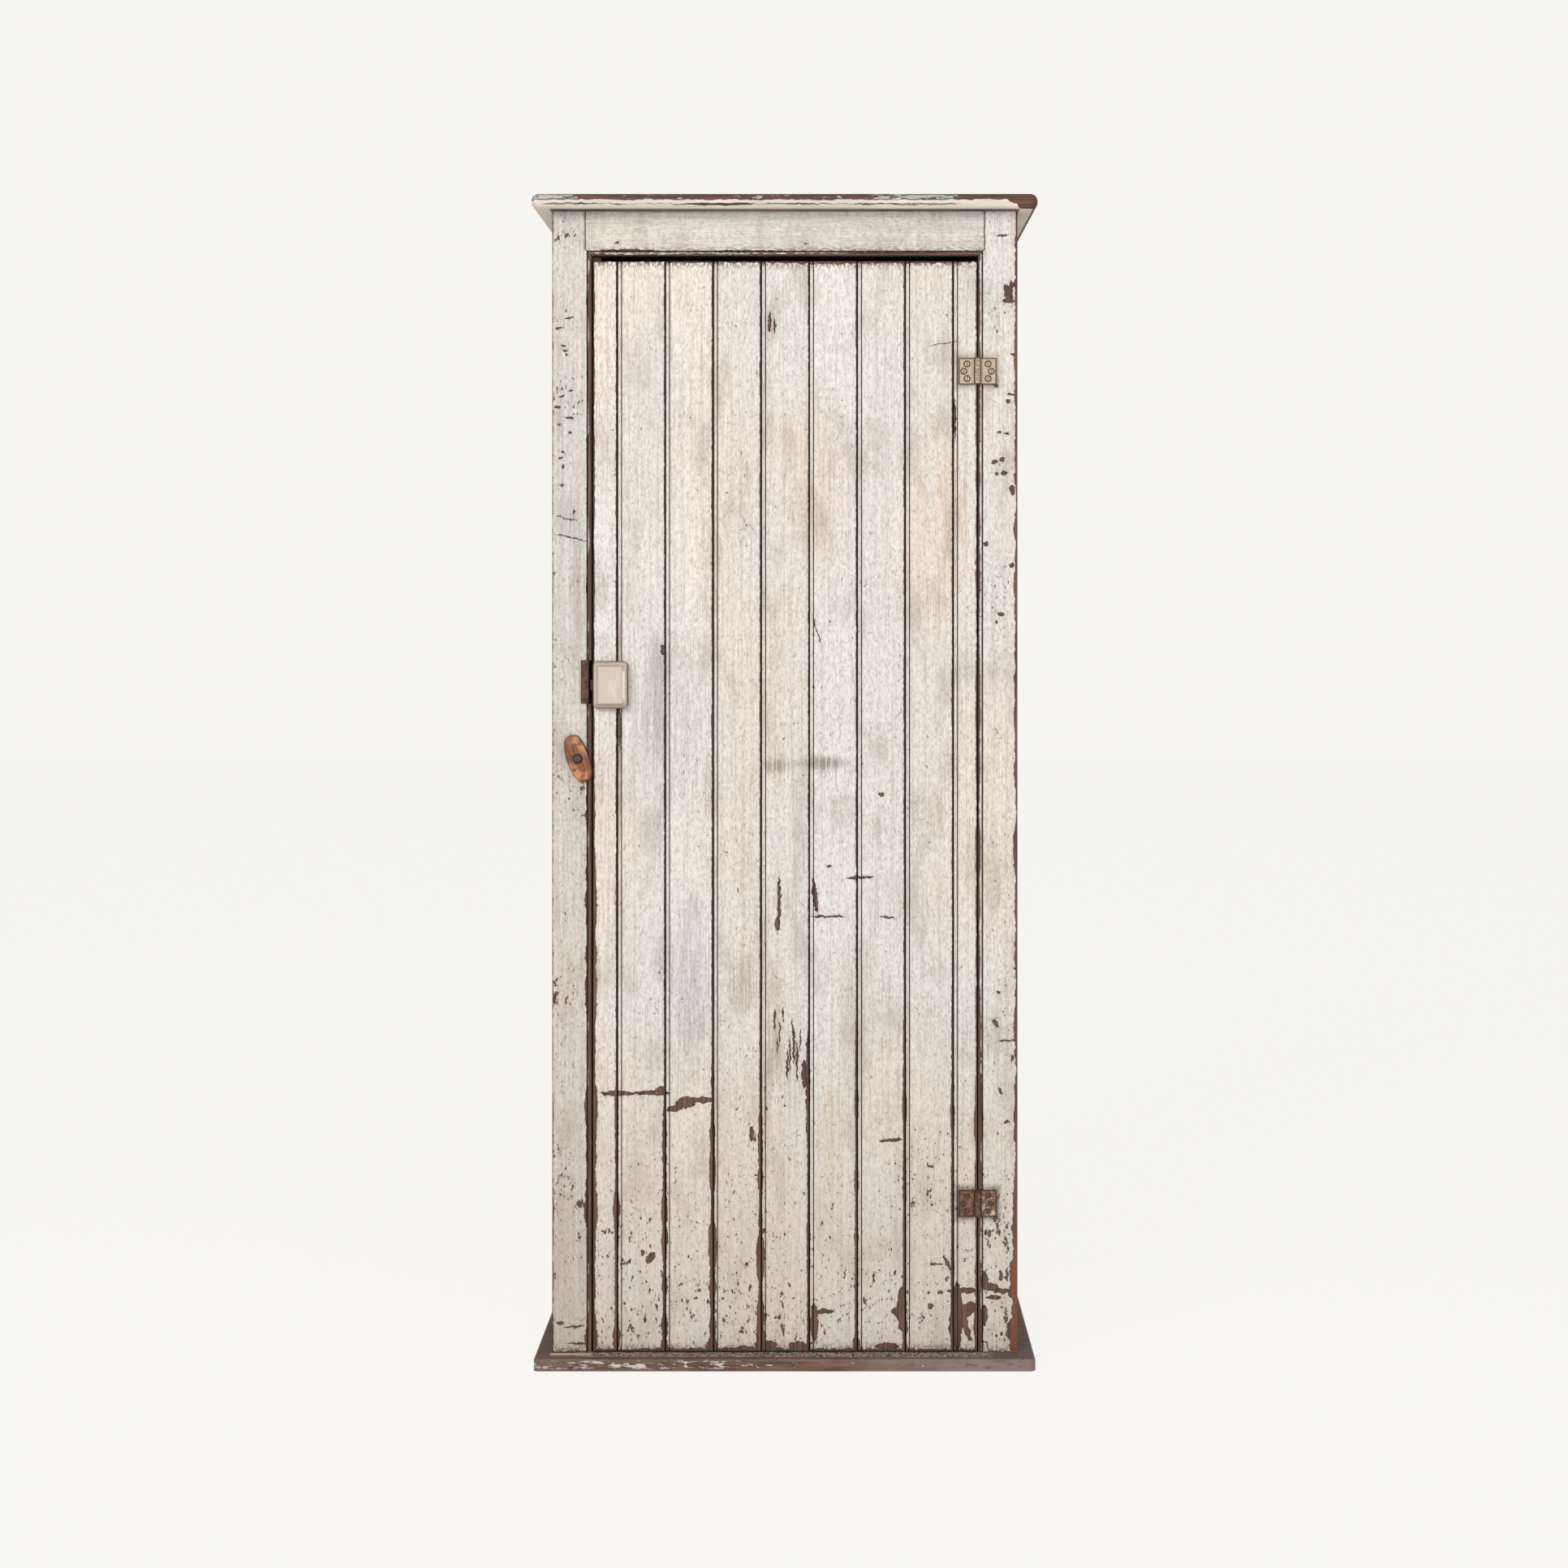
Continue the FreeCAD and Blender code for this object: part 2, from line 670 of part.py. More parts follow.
def nail(body, name, x, z):
    side, head = d.nail_side, d.nail_head_side
    start = ledge_front - d.nail_bite
    length = d.nail_bite + d.ledge_thick
    shank = block(body, f"{name}_shank", (side, length, side), (x - side / 2, start, z - side / 2))
    cap = block(body, f"{name}_head", (head, d.nail_head_thick, head),
                (x - head / 2, start + length, z - head / 2))
    return [shank, cap]


def make_nails():
    body = new_body("door_nails")
    first = board_joints[0] + board_pitch / 2
    high = lower_hinge_height + d.nail_spread / 2
    pair = nail(body, "left", first - d.nail_offset, high)
    pair += nail(body, "right", first + d.nail_offset, high - d.nail_spread)
    repeat_both(body, "full_boards", (board_pitch * (FULL_DOOR_BOARDS - 1), FULL_DOOR_BOARDS),
                (hinge_spacing, len(ledge_centres)), pair)
    edge = nail(body, "latch_edge", (door_left + board_joints[0]) / 2, high)
    edge += nail(body, "hinge_edge", (door_right + board_joints[-1]) / 2, high)
    repeat(body, "edge_boards", "Z", hinge_spacing, len(ledge_centres), edge)


def add_leaf(body, name, side, base, knuckles, notches):
    width, tall, round_off = d.hinge_leaf_width, d.hinge_height, d.hinge_corner_radius
    corner = round_off * CORNER_CUT
    clear = (d.knuckle_radius + 2 * d.knuckle_gap) * side
    inner = []
    for bottom, top in notches:
        inner += [(0, bottom), (clear, bottom), (clear, top), (0, top)]
    if side > 0:
        inner = [(0, 0)] + inner + [(0, tall)]
    else:
        inner = inner[1:-1]
    outline = inner + [
        ((width - round_off) * side, tall), Via((width - corner) * side, tall - corner),
        (width * side, tall - round_off), (width * side, round_off),
        Via((width - corner) * side, corner), ((width - round_off) * side, 0)]
    plate = new_sketch(body, "XZ", f"{name}_plate")
    add_loop(plate, shifted(outline, lambda x, z: (x, base + z)))
    pad(body, plate, d.leaf_thick)
    for number, (bottom, top) in enumerate(knuckles, 1):
        barrel = new_sketch(body, "XY", f"{name}_knuckle_{number}", base + bottom)
        add_circle(barrel, (0, knuckle_y), d.knuckle_radius)
        pad(body, barrel, top - bottom)
    for number, (out, up) in enumerate(screw_spots, 1):
        sunk_hole(body, f"{name}_screw_hole_{number}", out * side, base + tall / 2 + up, d.screw_radius,
                  d.screw_head_radius, d.screw_head_thick, d.leaf_thick)


def make_hinge_leaves(name, side, knuckles, notches):
    # side is 1 for the leaves on the stile and -1 for the leaves on the door.
    body = new_body(name)
    for hinge, height in hinge_heights.items():
        add_leaf(body, hinge, side, height - lower_hinge_height, knuckles, notches)
    bored(body, "XY", "pin_bore", [((0, knuckle_y), d.pin_radius + d.pin_clearance)])
    place(body, hinge_x, face, lower_hinge_height - d.hinge_height / 2)


def make_hinge_pins():
    body = new_body("hinge_pins")
    tall = d.hinge_height
    shaft, cap = (d.pin_radius, tall), (d.pin_cap_radius, d.pin_cap_thick)
    features = [primitive(body, "AdditiveCylinder", name, {"Radius": radius, "Height": length}, 0, 0, z)
                for name, (radius, length), z in (("shaft", shaft, 0), ("cap", cap, tall))]
    repeat(body, "pair", "Z", hinge_spacing, len(hinge_heights), features)
    place(body, hinge_x, face + knuckle_y, lower_hinge_height - tall / 2)


def make_hinge_screws(body, side):
    for hinge, height in hinge_heights.items():
        for number, (out, up) in enumerate(screw_spots, 1):
            wood_screw(body, f"{hinge}_{number}", hinge_x + out * side, height + up, d.screw_radius,
                       d.screw_head_radius, d.screw_head_thick, d.leaf_thick, d.screw_bite)


def make_hinges():
    tall, gap = d.hinge_height, d.knuckle_gap
    low, high = knuckle_end, tall - knuckle_end
    make_hinge_leaves("hinge_frame_leaves", 1, [(0, low), (high, tall)], [(low, high)])
    make_hinge_leaves("hinge_door_leaves", -1, [(low + gap, high - gap)],
                      [(as_size(0), low + gap), (high - gap, tall)])
    make_hinge_pins()
    make_hinge_screws(new_body("door_screws"), -1)


def make_keeper():
    body = new_body("keeper_plate")
    left = keeper_right - d.keeper_width
    sketch = new_sketch(body, "XZ", "plate")
    top = keeper_bottom + d.keeper_height
    add_loop(sketch, [(left, keeper_bottom), (keeper_right, keeper_bottom),
                      (keeper_right, top), (left, top)])
    pad(body, sketch, d.keeper_thick)
    for number, (x, z) in enumerate(keeper_screws, 1):
        sunk_hole(body, f"screw_hole_{number}", x, z, d.keeper_screw_radius, d.keeper_screw_head_radius,
                  d.keeper_screw_head_thick, d.keeper_thick)
    place(body, 0, face, 0)


def make_frame_screws():
    body = new_body("frame_screws")
    make_hinge_screws(body, 1)
    for number, (x, z) in enumerate(keeper_screws, 1):
        wood_screw(body, f"keeper_{number}", x, z, d.keeper_screw_radius, d.keeper_screw_head_radius,
                   d.keeper_screw_head_thick, d.keeper_thick, d.keeper_screw_bite)
    seat = button_front - d.washer_thick
    head, thick = d.button_screw_head_radius, d.button_screw_head_thick
    primitive(body, "AdditiveCylinder", "button_head", {"Radius": head, "Height": thick},
              button_x, seat - thick, button_height, INTO_WOOD)
    neck = {"Radius": d.button_screw_radius, "Height": face - seat}
    primitive(body, "AdditiveCylinder", "button_neck", neck, button_x, seat, button_height, INTO_WOOD)
    shank = {"Circumradius": d.button_screw_radius, "Height": d.button_screw_bite}
    primitive(body, "AdditivePrism", "button_shank", shank, button_x, face, button_height, INTO_WOOD)
    width = d.button_screw_slot_width
    block(body, "button_slot", (2 * head, d.button_screw_slot_depth, width),
          (button_x - head, seat - thick, button_height - width / 2), cut=True)


def make_turn_button():
    body = new_body("turn_button")
    half_length, half_end = d.button_length / 2, d.button_end_width / 2
    sketch = new_sketch(body, "XZ", "outline")
    add_loop(sketch, [(half_end, half_length), (-half_end, half_length), Via(-d.button_width / 2, 0),
                      (-half_end, -half_length), (half_end, -half_length), Via(d.button_width / 2, 0)])
    blank = pad(body, sketch, d.button_thick)
    rounded = eased(body, "Fillet", blank, d.button_corner_radius,
                    lambda box: box.XLength < TOLERANCE and box.ZLength < TOLERANCE)
    eased(body, "Chamfer", rounded, d.button_bevel, lambda box: is_near(box.YMax, -d.button_thick))
    bored(body, "XZ", "bore", [((0, 0), d.button_screw_radius + d.button_bore_clearance)])
    place(body, button_x, face - d.button_gap, button_height,
          FreeCAD.Rotation(FreeCAD.Vector(0, 1, 0), -BUTTON_TILT))

    washer = new_body("turn_button_washer")
    sketch = new_sketch(washer, "XZ", "ring")
    add_circle(sketch, (0, 0), d.washer_radius)
    add_circle(sketch, (0, 0), d.button_screw_radius + d.button_bore_clearance)
    pad(washer, sketch, d.washer_thick)
    place(washer, button_x, button_front, button_height)


def latch_outline():
    width, tall, round_off = d.latch_width, d.latch_height, d.latch_corner_radius
    cut = round_off * CORNER_CUT
    return [(round_off, 0), (width - round_off, 0), Via(width - cut, cut), (width, round_off),
            (width, tall - round_off), Via(width - cut, tall - cut), (width - round_off, tall),
            (round_off, tall), Via(cut, tall - cut), (0, tall - round_off), (0, round_off), Via(cut, cut)]


def make_latch():
    plate = new_body("latch_plate")
    sketch = new_sketch(plate, "XZ", "outline")
    add_loop(sketch, latch_outline())
    pad(plate, sketch, d.latch_plate_thick)
    place(plate, door_left, face, latch_bottom)

    case = new_body("latch_case")
    deep = d.latch_depth - d.latch_plate_thick
    sketch = new_sketch(case, "XZ", "outline")
    add_loop(sketch, latch_outline())
    blank = pad(case, sketch, deep)
    eased(case, "Chamfer", blank, smaller(d.latch_bevel, d.latch_corner_radius * FULLEST_BEVEL),
          lambda box: is_near(box.YMax, -deep))
    wall = d.latch_wall
    block(case, "hollow", (d.latch_width - 2 * wall, bolt_room + OVERRUN, d.latch_height - 2 * wall),
          (wall, -bolt_room, wall), cut=True)
    slot_height = d.bolt_height + 2 * d.bolt_clearance
    block(case, "bolt_slot", (wall + 2 * OVERRUN, bolt_room + OVERRUN, slot_height),
          (-OVERRUN, -bolt_room, (d.latch_height - slot_height) / 2), cut=True)
    place(case, door_left, latch_case_back, latch_bottom)

    # the bolt, its nose bevelled on the side that meets the keeper first
    nose = door_left - d.bolt_reach
    front = latch_case_back - d.bolt_clearance - d.bolt_thick
    moulded("latch_bolt", "XY",
            [(0, 0), (d.bolt_length, 0), (d.bolt_length, d.bolt_thick),
             (d.bolt_bevel, d.bolt_thick), (0, d.bolt_thick - d.bolt_bevel)],
            d.bolt_height, nose, front, d.latch_centre_height - d.bolt_height / 2)
    bow = latch_room_right - bolt_tail - d.spring_clearance
    half_span = d.spring_span / 2
    inner_half_span = half_span - 2 * d.spring_thick
    moulded("latch_spring", "XZ",
            [(0, -half_span), Via(-bow, 0), (0, half_span), (0, inner_half_span),
             Via(d.spring_thick - bow, 0), (0, -inner_half_span)],
            d.spring_width, latch_room_right, front + (d.bolt_thick - d.spring_width) / 2,
            d.latch_centre_height, reverse=True)


def check():
    for item in doc.Objects:
        if "Invalid" in item.State or "Error" in item.State:
            raise RuntimeError(f"{item.Label} failed")
    for body in bodies:
        if body.Shape.isNull() or not body.Shape.isValid() or not body.Shape.Solids:
            raise RuntimeError(f"{body.Label} has no valid shape")


def write():
    os.makedirs("parts", exist_ok=True)
    for body in bodies:
        body.Shape.exportStep(f"parts/{body.Label}.step")


make_top_and_base()
make_face_frame()
make_panels()
make_shelves()
make_door_stop()
make_door_boards()
make_ledges()
make_nails()
make_hinges()
make_keeper()
make_frame_screws()
make_turn_button()
make_latch()
doc.recompute()
check()
write()
for body in bodies:
    print(f"{body.Label}: {len(body.Shape.Solids)} solids, {body.Shape.Volume:.0f} mm3")
print(len(bodies), "nodes")
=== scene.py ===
import math

import bmesh
import bpy
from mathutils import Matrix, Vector


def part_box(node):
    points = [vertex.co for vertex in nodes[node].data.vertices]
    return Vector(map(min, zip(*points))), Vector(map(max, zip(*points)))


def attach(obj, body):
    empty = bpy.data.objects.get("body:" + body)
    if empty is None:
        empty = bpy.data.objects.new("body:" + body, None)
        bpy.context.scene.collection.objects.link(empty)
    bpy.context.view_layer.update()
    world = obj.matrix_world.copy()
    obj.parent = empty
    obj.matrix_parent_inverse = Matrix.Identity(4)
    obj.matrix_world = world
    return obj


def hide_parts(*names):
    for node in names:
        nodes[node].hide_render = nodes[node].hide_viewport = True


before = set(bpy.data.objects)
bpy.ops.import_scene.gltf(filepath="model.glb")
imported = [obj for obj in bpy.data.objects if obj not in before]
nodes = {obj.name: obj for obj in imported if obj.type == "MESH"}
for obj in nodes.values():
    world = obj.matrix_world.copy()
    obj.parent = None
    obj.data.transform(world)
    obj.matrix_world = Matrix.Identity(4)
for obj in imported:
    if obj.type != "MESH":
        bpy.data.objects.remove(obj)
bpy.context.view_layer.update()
scene = bpy.context.scene
print("frame loaded:", len(nodes), "nodes")


# shader helpers

def tone(red, green, blue):
    # a screen colour as the linear colour that a socket holds
    def linear(value):
        value = value / 255
        return value / 12.92 if value <= 0.04045 else ((value + 0.055) / 1.055) ** 2.4
    return linear(red), linear(green), linear(blue), 1


def addNode(tree, kind, settings=None, inputs=None):
    # settings come first, because they can change a node's sockets
    made = tree.nodes.new(kind)
    for key, value in (settings or {}).items():
        setattr(made, key, value)
    for key, value in (inputs or {}).items():
        value = value.socket if isinstance(value, Wire) else value
        if isinstance(value, bpy.types.NodeSocket):
            tree.links.new(value, made.inputs[key])
        else:
            made.inputs[key].default_value = value
    return made


class Wire:
    # one number that varies over a surface; arithmetic on it adds Math nodes
    def __init__(self, finish, socket):
        self.finish = finish
        self.socket = socket

    def maths(self, operation, *values):
        inputs = dict(enumerate((self,) + values))
        return self.finish.number("Math", {"operation": operation}, inputs)

    def __add__(self, other):
        return self.maths("ADD", other)

    def __sub__(self, other):
        return self.maths("SUBTRACT", other)

    def __rsub__(self, other):
        return self.maths("MULTIPLY_ADD", -1, other)

    def __mul__(self, other):
        return self.maths("MULTIPLY", other)

    def __truediv__(self, other):
        return self.maths("DIVIDE", other)

    def __abs__(self):
        return self.maths("ABSOLUTE")

    __radd__ = __add__
    __rmul__ = __mul__

    def scaled(self, factor, start):
        return self.maths("MULTIPLY_ADD", factor, start)

    def most(self, other):
        return self.maths("MAXIMUM", other)

    def least(self, other):
        return self.maths("MINIMUM", other)


class Finish:
    # a material and its nodes, in millimetres; plane names the two axes of a flat pattern
    def __init__(self, name, plane=None):
        self.material = bpy.data.materials.new(name)
        self.material.use_nodes = True
        self.tree = self.material.node_tree
        self.tree.nodes.clear()
        self.mm = self.vector("SCALE", self.node("TexCoord").outputs["Object"], Scale=1000)
        self.x, self.y, self.z = self.parts(self.mm)
        self.place, self.dimensions = self.mm, "3D"
        if plane:
            across = self.x if plane == "xz" else self.y
            self.place = self.node("CombineXYZ", None, {"X": across, "Y": self.z}).outputs[0]
            self.dimensions = "2D"

    def node(self, kind, settings=None, inputs=None):
        return addNode(self.tree, "ShaderNode" + kind, settings, inputs)

    def number(self, kind, settings=None, inputs=None):
        return Wire(self, self.node(kind, settings, inputs).outputs[0])

    def vector(self, operation, *values, **named):
        inputs = dict(enumerate(values))
        inputs.update(named)
        return self.node("VectorMath", {"operation": operation}, inputs).outputs["Vector"]

    def parts(self, value, kind="XYZ"):
        # the three numbers of a vector, or of a texture's colour
        return [Wire(self, output) for output in self.node("Separate" + kind, None, {0: value}).outputs]

    def chanceOf(self, value):
        # one random number from 0 to 1 for each whole value, such as a board's number
        return self.number("TexWhiteNoise", {"noise_dimensions": "1D"}, {"W": value})

    def stretched(self, along, vector=None):
        # the place, squeezed along each axis by these factors
        return self.vector("MULTIPLY", vector or self.place, along)

    def turned(self, degrees, vector=None):
        # the place of a flat pattern, turned
        settings = {"rotation_type": "Z_AXIS"}
        inputs = {"Vector": vector or self.place, "Angle": math.radians(degrees)}
        return self.node("VectorRotate", settings, inputs).outputs[0]

    def texture(self, size, detail, roughness, vector=None):
        # size is the width of the features in millimetres
        inputs = {"Vector": vector or self.place, "Scale": 1 / size, "Detail": detail, "Roughness": roughness}
        return self.node("TexNoise", {"noise_dimensions": self.dimensions}, inputs)

    def noise(self, size, detail=3, roughness=0.55, along=None, place=None):
        if along:
            place = self.stretched(along, place)
        return Wire(self, self.texture(size, detail, roughness, place).outputs[0])

    def cells(self, size, vector=None):
        # distance in millimetres to the nearest scattered point, and a chance for that point
        inputs = {"Vector": vector or self.place, "Scale": 1 / size}
        made = self.node("TexVoronoi", {"voronoi_dimensions": self.dimensions}, inputs)
        chance = self.parts(made.outputs["Color"], "Color")[0]
        return Wire(self, made.outputs["Distance"]) * size, chance

    def ramp(self, value, low, high):
        # 0 at low, 1 at high, smooth between; low may be the larger
        inputs = {"Value": value, "From Min": low, "From Max": high}
        return self.number("MapRange", {"interpolation_type": "SMOOTHSTEP"}, inputs)

    def blend(self, share, first, second):
        settings = {"data_type": "RGBA", "clamp_factor": True}
        return self.node("Mix", settings, {0: share, 6: first, 7: second}).outputs[2]

    def over(self, base, colour, pattern, start, full, share=1):
        # lays a colour over the base where the pattern goes from start to full
        mask = self.ramp(pattern, start, full)
        return self.blend(mask if share == 1 else mask * share, base, colour)

    def shaken(self, reach, size, detail=2, vector=None):
        # the place, moved about by up to half of reach each way
        red, green, blue = self.parts(self.texture(size, detail, 0.55, vector).outputs[1], "Color")
        drift = self.node("CombineXYZ", None, {"X": red, "Y": green, "Z": blue}).outputs[0]
        drift = self.vector("SUBTRACT", drift, (0.5, 0.5, 0.5))
        return self.vector("ADD", vector or self.place, self.vector("SCALE", drift, Scale=reach))

    def close(self, colour, roughness, height, relief):
        # ends the tree; height is in millimetres
        bump = self.node("Bump", None, {"Strength": relief, "Distance": 0.001, "Height": height})
        inputs = {"Base Color": colour, "Roughness": roughness, "Normal": bump.outputs["Normal"]}
        shader = self.node("BsdfPrincipled", None, inputs)
        self.node("OutputMaterial", None, {"Surface": shader.outputs[0]})
        return self.material


# places shared by the finishes, in millimetres

def boxInMm(name):
    return [corner * 1000 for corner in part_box(name)]


leftStile = boxInMm("left_stile")
case = {
    "face": leftStile[0].y,
    "halfWidth": -leftStile[0].x,
    "halfOpening": -leftStile[1].x,
    "top": leftStile[1].z,
    "floor": leftStile[0].z,
    "openingTop": boxInMm("top_rail")[0].z,
    "mitreReach": 10,
    "frameBack": leftStile[1].y,
    "sidePitch": boxInMm("right_side_board_3")[0].y - boxInMm("right_side_board_2")[0].y,
}
door = {
    "left": boxInMm("door_board_1")[0].x,
    "right": boxInMm("door_board_9")[1].x,
    "bottom": boxInMm("door_board_1")[0].z,
    "top": boxInMm("door_board_1")[1].z,
    "joints": 8,
    "edgeBoard": 37.15,
}
door["pitch"] = (door["right"] - door["left"] - 2 * door["edgeBoard"]) / (door["joints"] - 1)
door["firstJoint"] = door["left"] + door["edgeBoard"]

hinge = {
    "axis": boxInMm("hinge_pins")[0].x * 0.5 + boxInMm("hinge_pins")[1].x * 0.5,
    "low": boxInMm("hinge_door_leaves")[0].z,
    "high": boxInMm("hinge_door_leaves")[1].z,
    "tall": 41.5,
    "leafEnd": boxInMm("hinge_frame_leaves")[1].x,
    "spots": ((16.5, 11.5), (21.5, 0)),
    "headRing": 4.6,  # radius of the dirt round a screw
    "knuckle": 5,  # half width of the knuckles
    "stains": ((tone(84, 54, 37), 1), (tone(140, 112, 86), 0.7)),
}
hinge["heights"] = (hinge["low"] + hinge["tall"] / 2, hinge["high"] - hinge["tall"] / 2)


# bare and painted wood

def bareWood(finish, pale, dark, along, size=3.2):
    # colour and height of weathered wood whose grain runs along the axis squeezed in along
    grain = finish.noise(size, 5, 0.6, along)
    fibre = finish.noise(size / 4, 3, 0.6, along)
    colour = finish.blend(finish.ramp(grain, 0.32, 0.7), dark, pale)
    colour = finish.over(colour, dark, fibre, 0.45, 0.75, 0.5)
    return colour, grain * 0.5 + fibre * 0.25


def blot(place, mark):
    # how far inside an oval mark a place is, in millimetres; outside it is below 0
    middle, height, halfWidth, halfHeight = mark[:4]
    across = place[0].scaled(1 / halfWidth, -middle / halfWidth)
    up = place[1].scaled(1 / halfHeight, -height / halfHeight)
    if len(mark) > 4:
        across = up.scaled(mark[4] * halfHeight / halfWidth, across)
    reach = up.scaled(up, across * across).maths("SQRT")
    size = min(halfWidth, halfHeight)
    return reach.scaled(-size, size)


def dashes(finish, place, size, squeeze, chanceFrom, thick):
    # short scattered marks, in millimetres inside their edge; squeeze gives their length
    away, chance = finish.cells(size, finish.stretched(squeeze, place))
    return ((chance - chanceFrom) * (thick * 3)).least(thick) - away


def bareDepth(finish, look, ragged, raggedPlace, foot, worn):
    # how far inside a bare place, in millimetres, with the wear of edges, joints and marks
    raggedX, raggedZ = raggedPlace
    patch = finish.noise(13, 4, 0.64, (1, 0.6, 1))
    bare = (patch - (0.82 - worn * 0.16)) * 40
    for mark in look["marks"]:
        bare = bare.most(blot(raggedPlace, mark))
    wander = finish.noise(70, 5, 0.62, (0.2, 1, 1))
    uneven = finish.ramp(wander, 0.3, 0.7) * 1.2 + 0.4
    # long edges and joints are less ragged than a chip
    calmX = (raggedX * 0.4) + finish.x * 0.6
    for place, high, low, turn in look["edges"]:
        reach = finish.ramp(finish.z, turn + 120, turn - 120) * (low - high) + high
        off = abs(calmX - place)
        if abs(place) == case["halfWidth"]:
            off = off + (finish.y - case["face"]) * 0.8  # a stile's outer side is bare only beside its edge
        bare = bare.most(reach * uneven - off)
    for place, reach in look["levels"]:
        bare = bare.most(uneven * reach - abs(raggedZ - place))
    if look["joints"]:
        pitch, first = look["joints"]
        step = (calmX - (first - 1)) / pitch
        joint = step.maths("ROUND")
        offLine = abs(step - joint) * pitch
        reach = finish.ramp(wander, 0.42, 0.74) * (0.7 + foot * 5.5) + foot * 2.4
        reach = reach + finish.chanceOf(joint) * 0.8 + 0.3
        bare = bare.most(reach - offLine)
    # the scattered chips come last: Cycles runs out of room where a long chain waits for them
    fine = finish.vector("ADD", ragged, (400, 90, 0))
    bare = bare.most(dashes(finish, ragged, 15, (1, 0.6, 1), 0.9 - worn * 0.28, 1.2))
    bare = bare.most(dashes(finish, fine, 7, (1.1, 0.5, 1), 0.94 - worn * 0.48, 0.56))
    bare = bare.most(dashes(finish, ragged, 36, (1.6, 0.3, 1), 0.8 - worn * 0.15, 0.9))
    bare = bare.most(dashes(finish, finish.turned(38, fine), 42, (2.6, 0.16, 1), 0.66, 0.6))
    bare = bare.most(dashes(finish, finish.turned(-52, fine), 50, (2.6, 0.14, 1), 0.68, 0.6))
    return bare


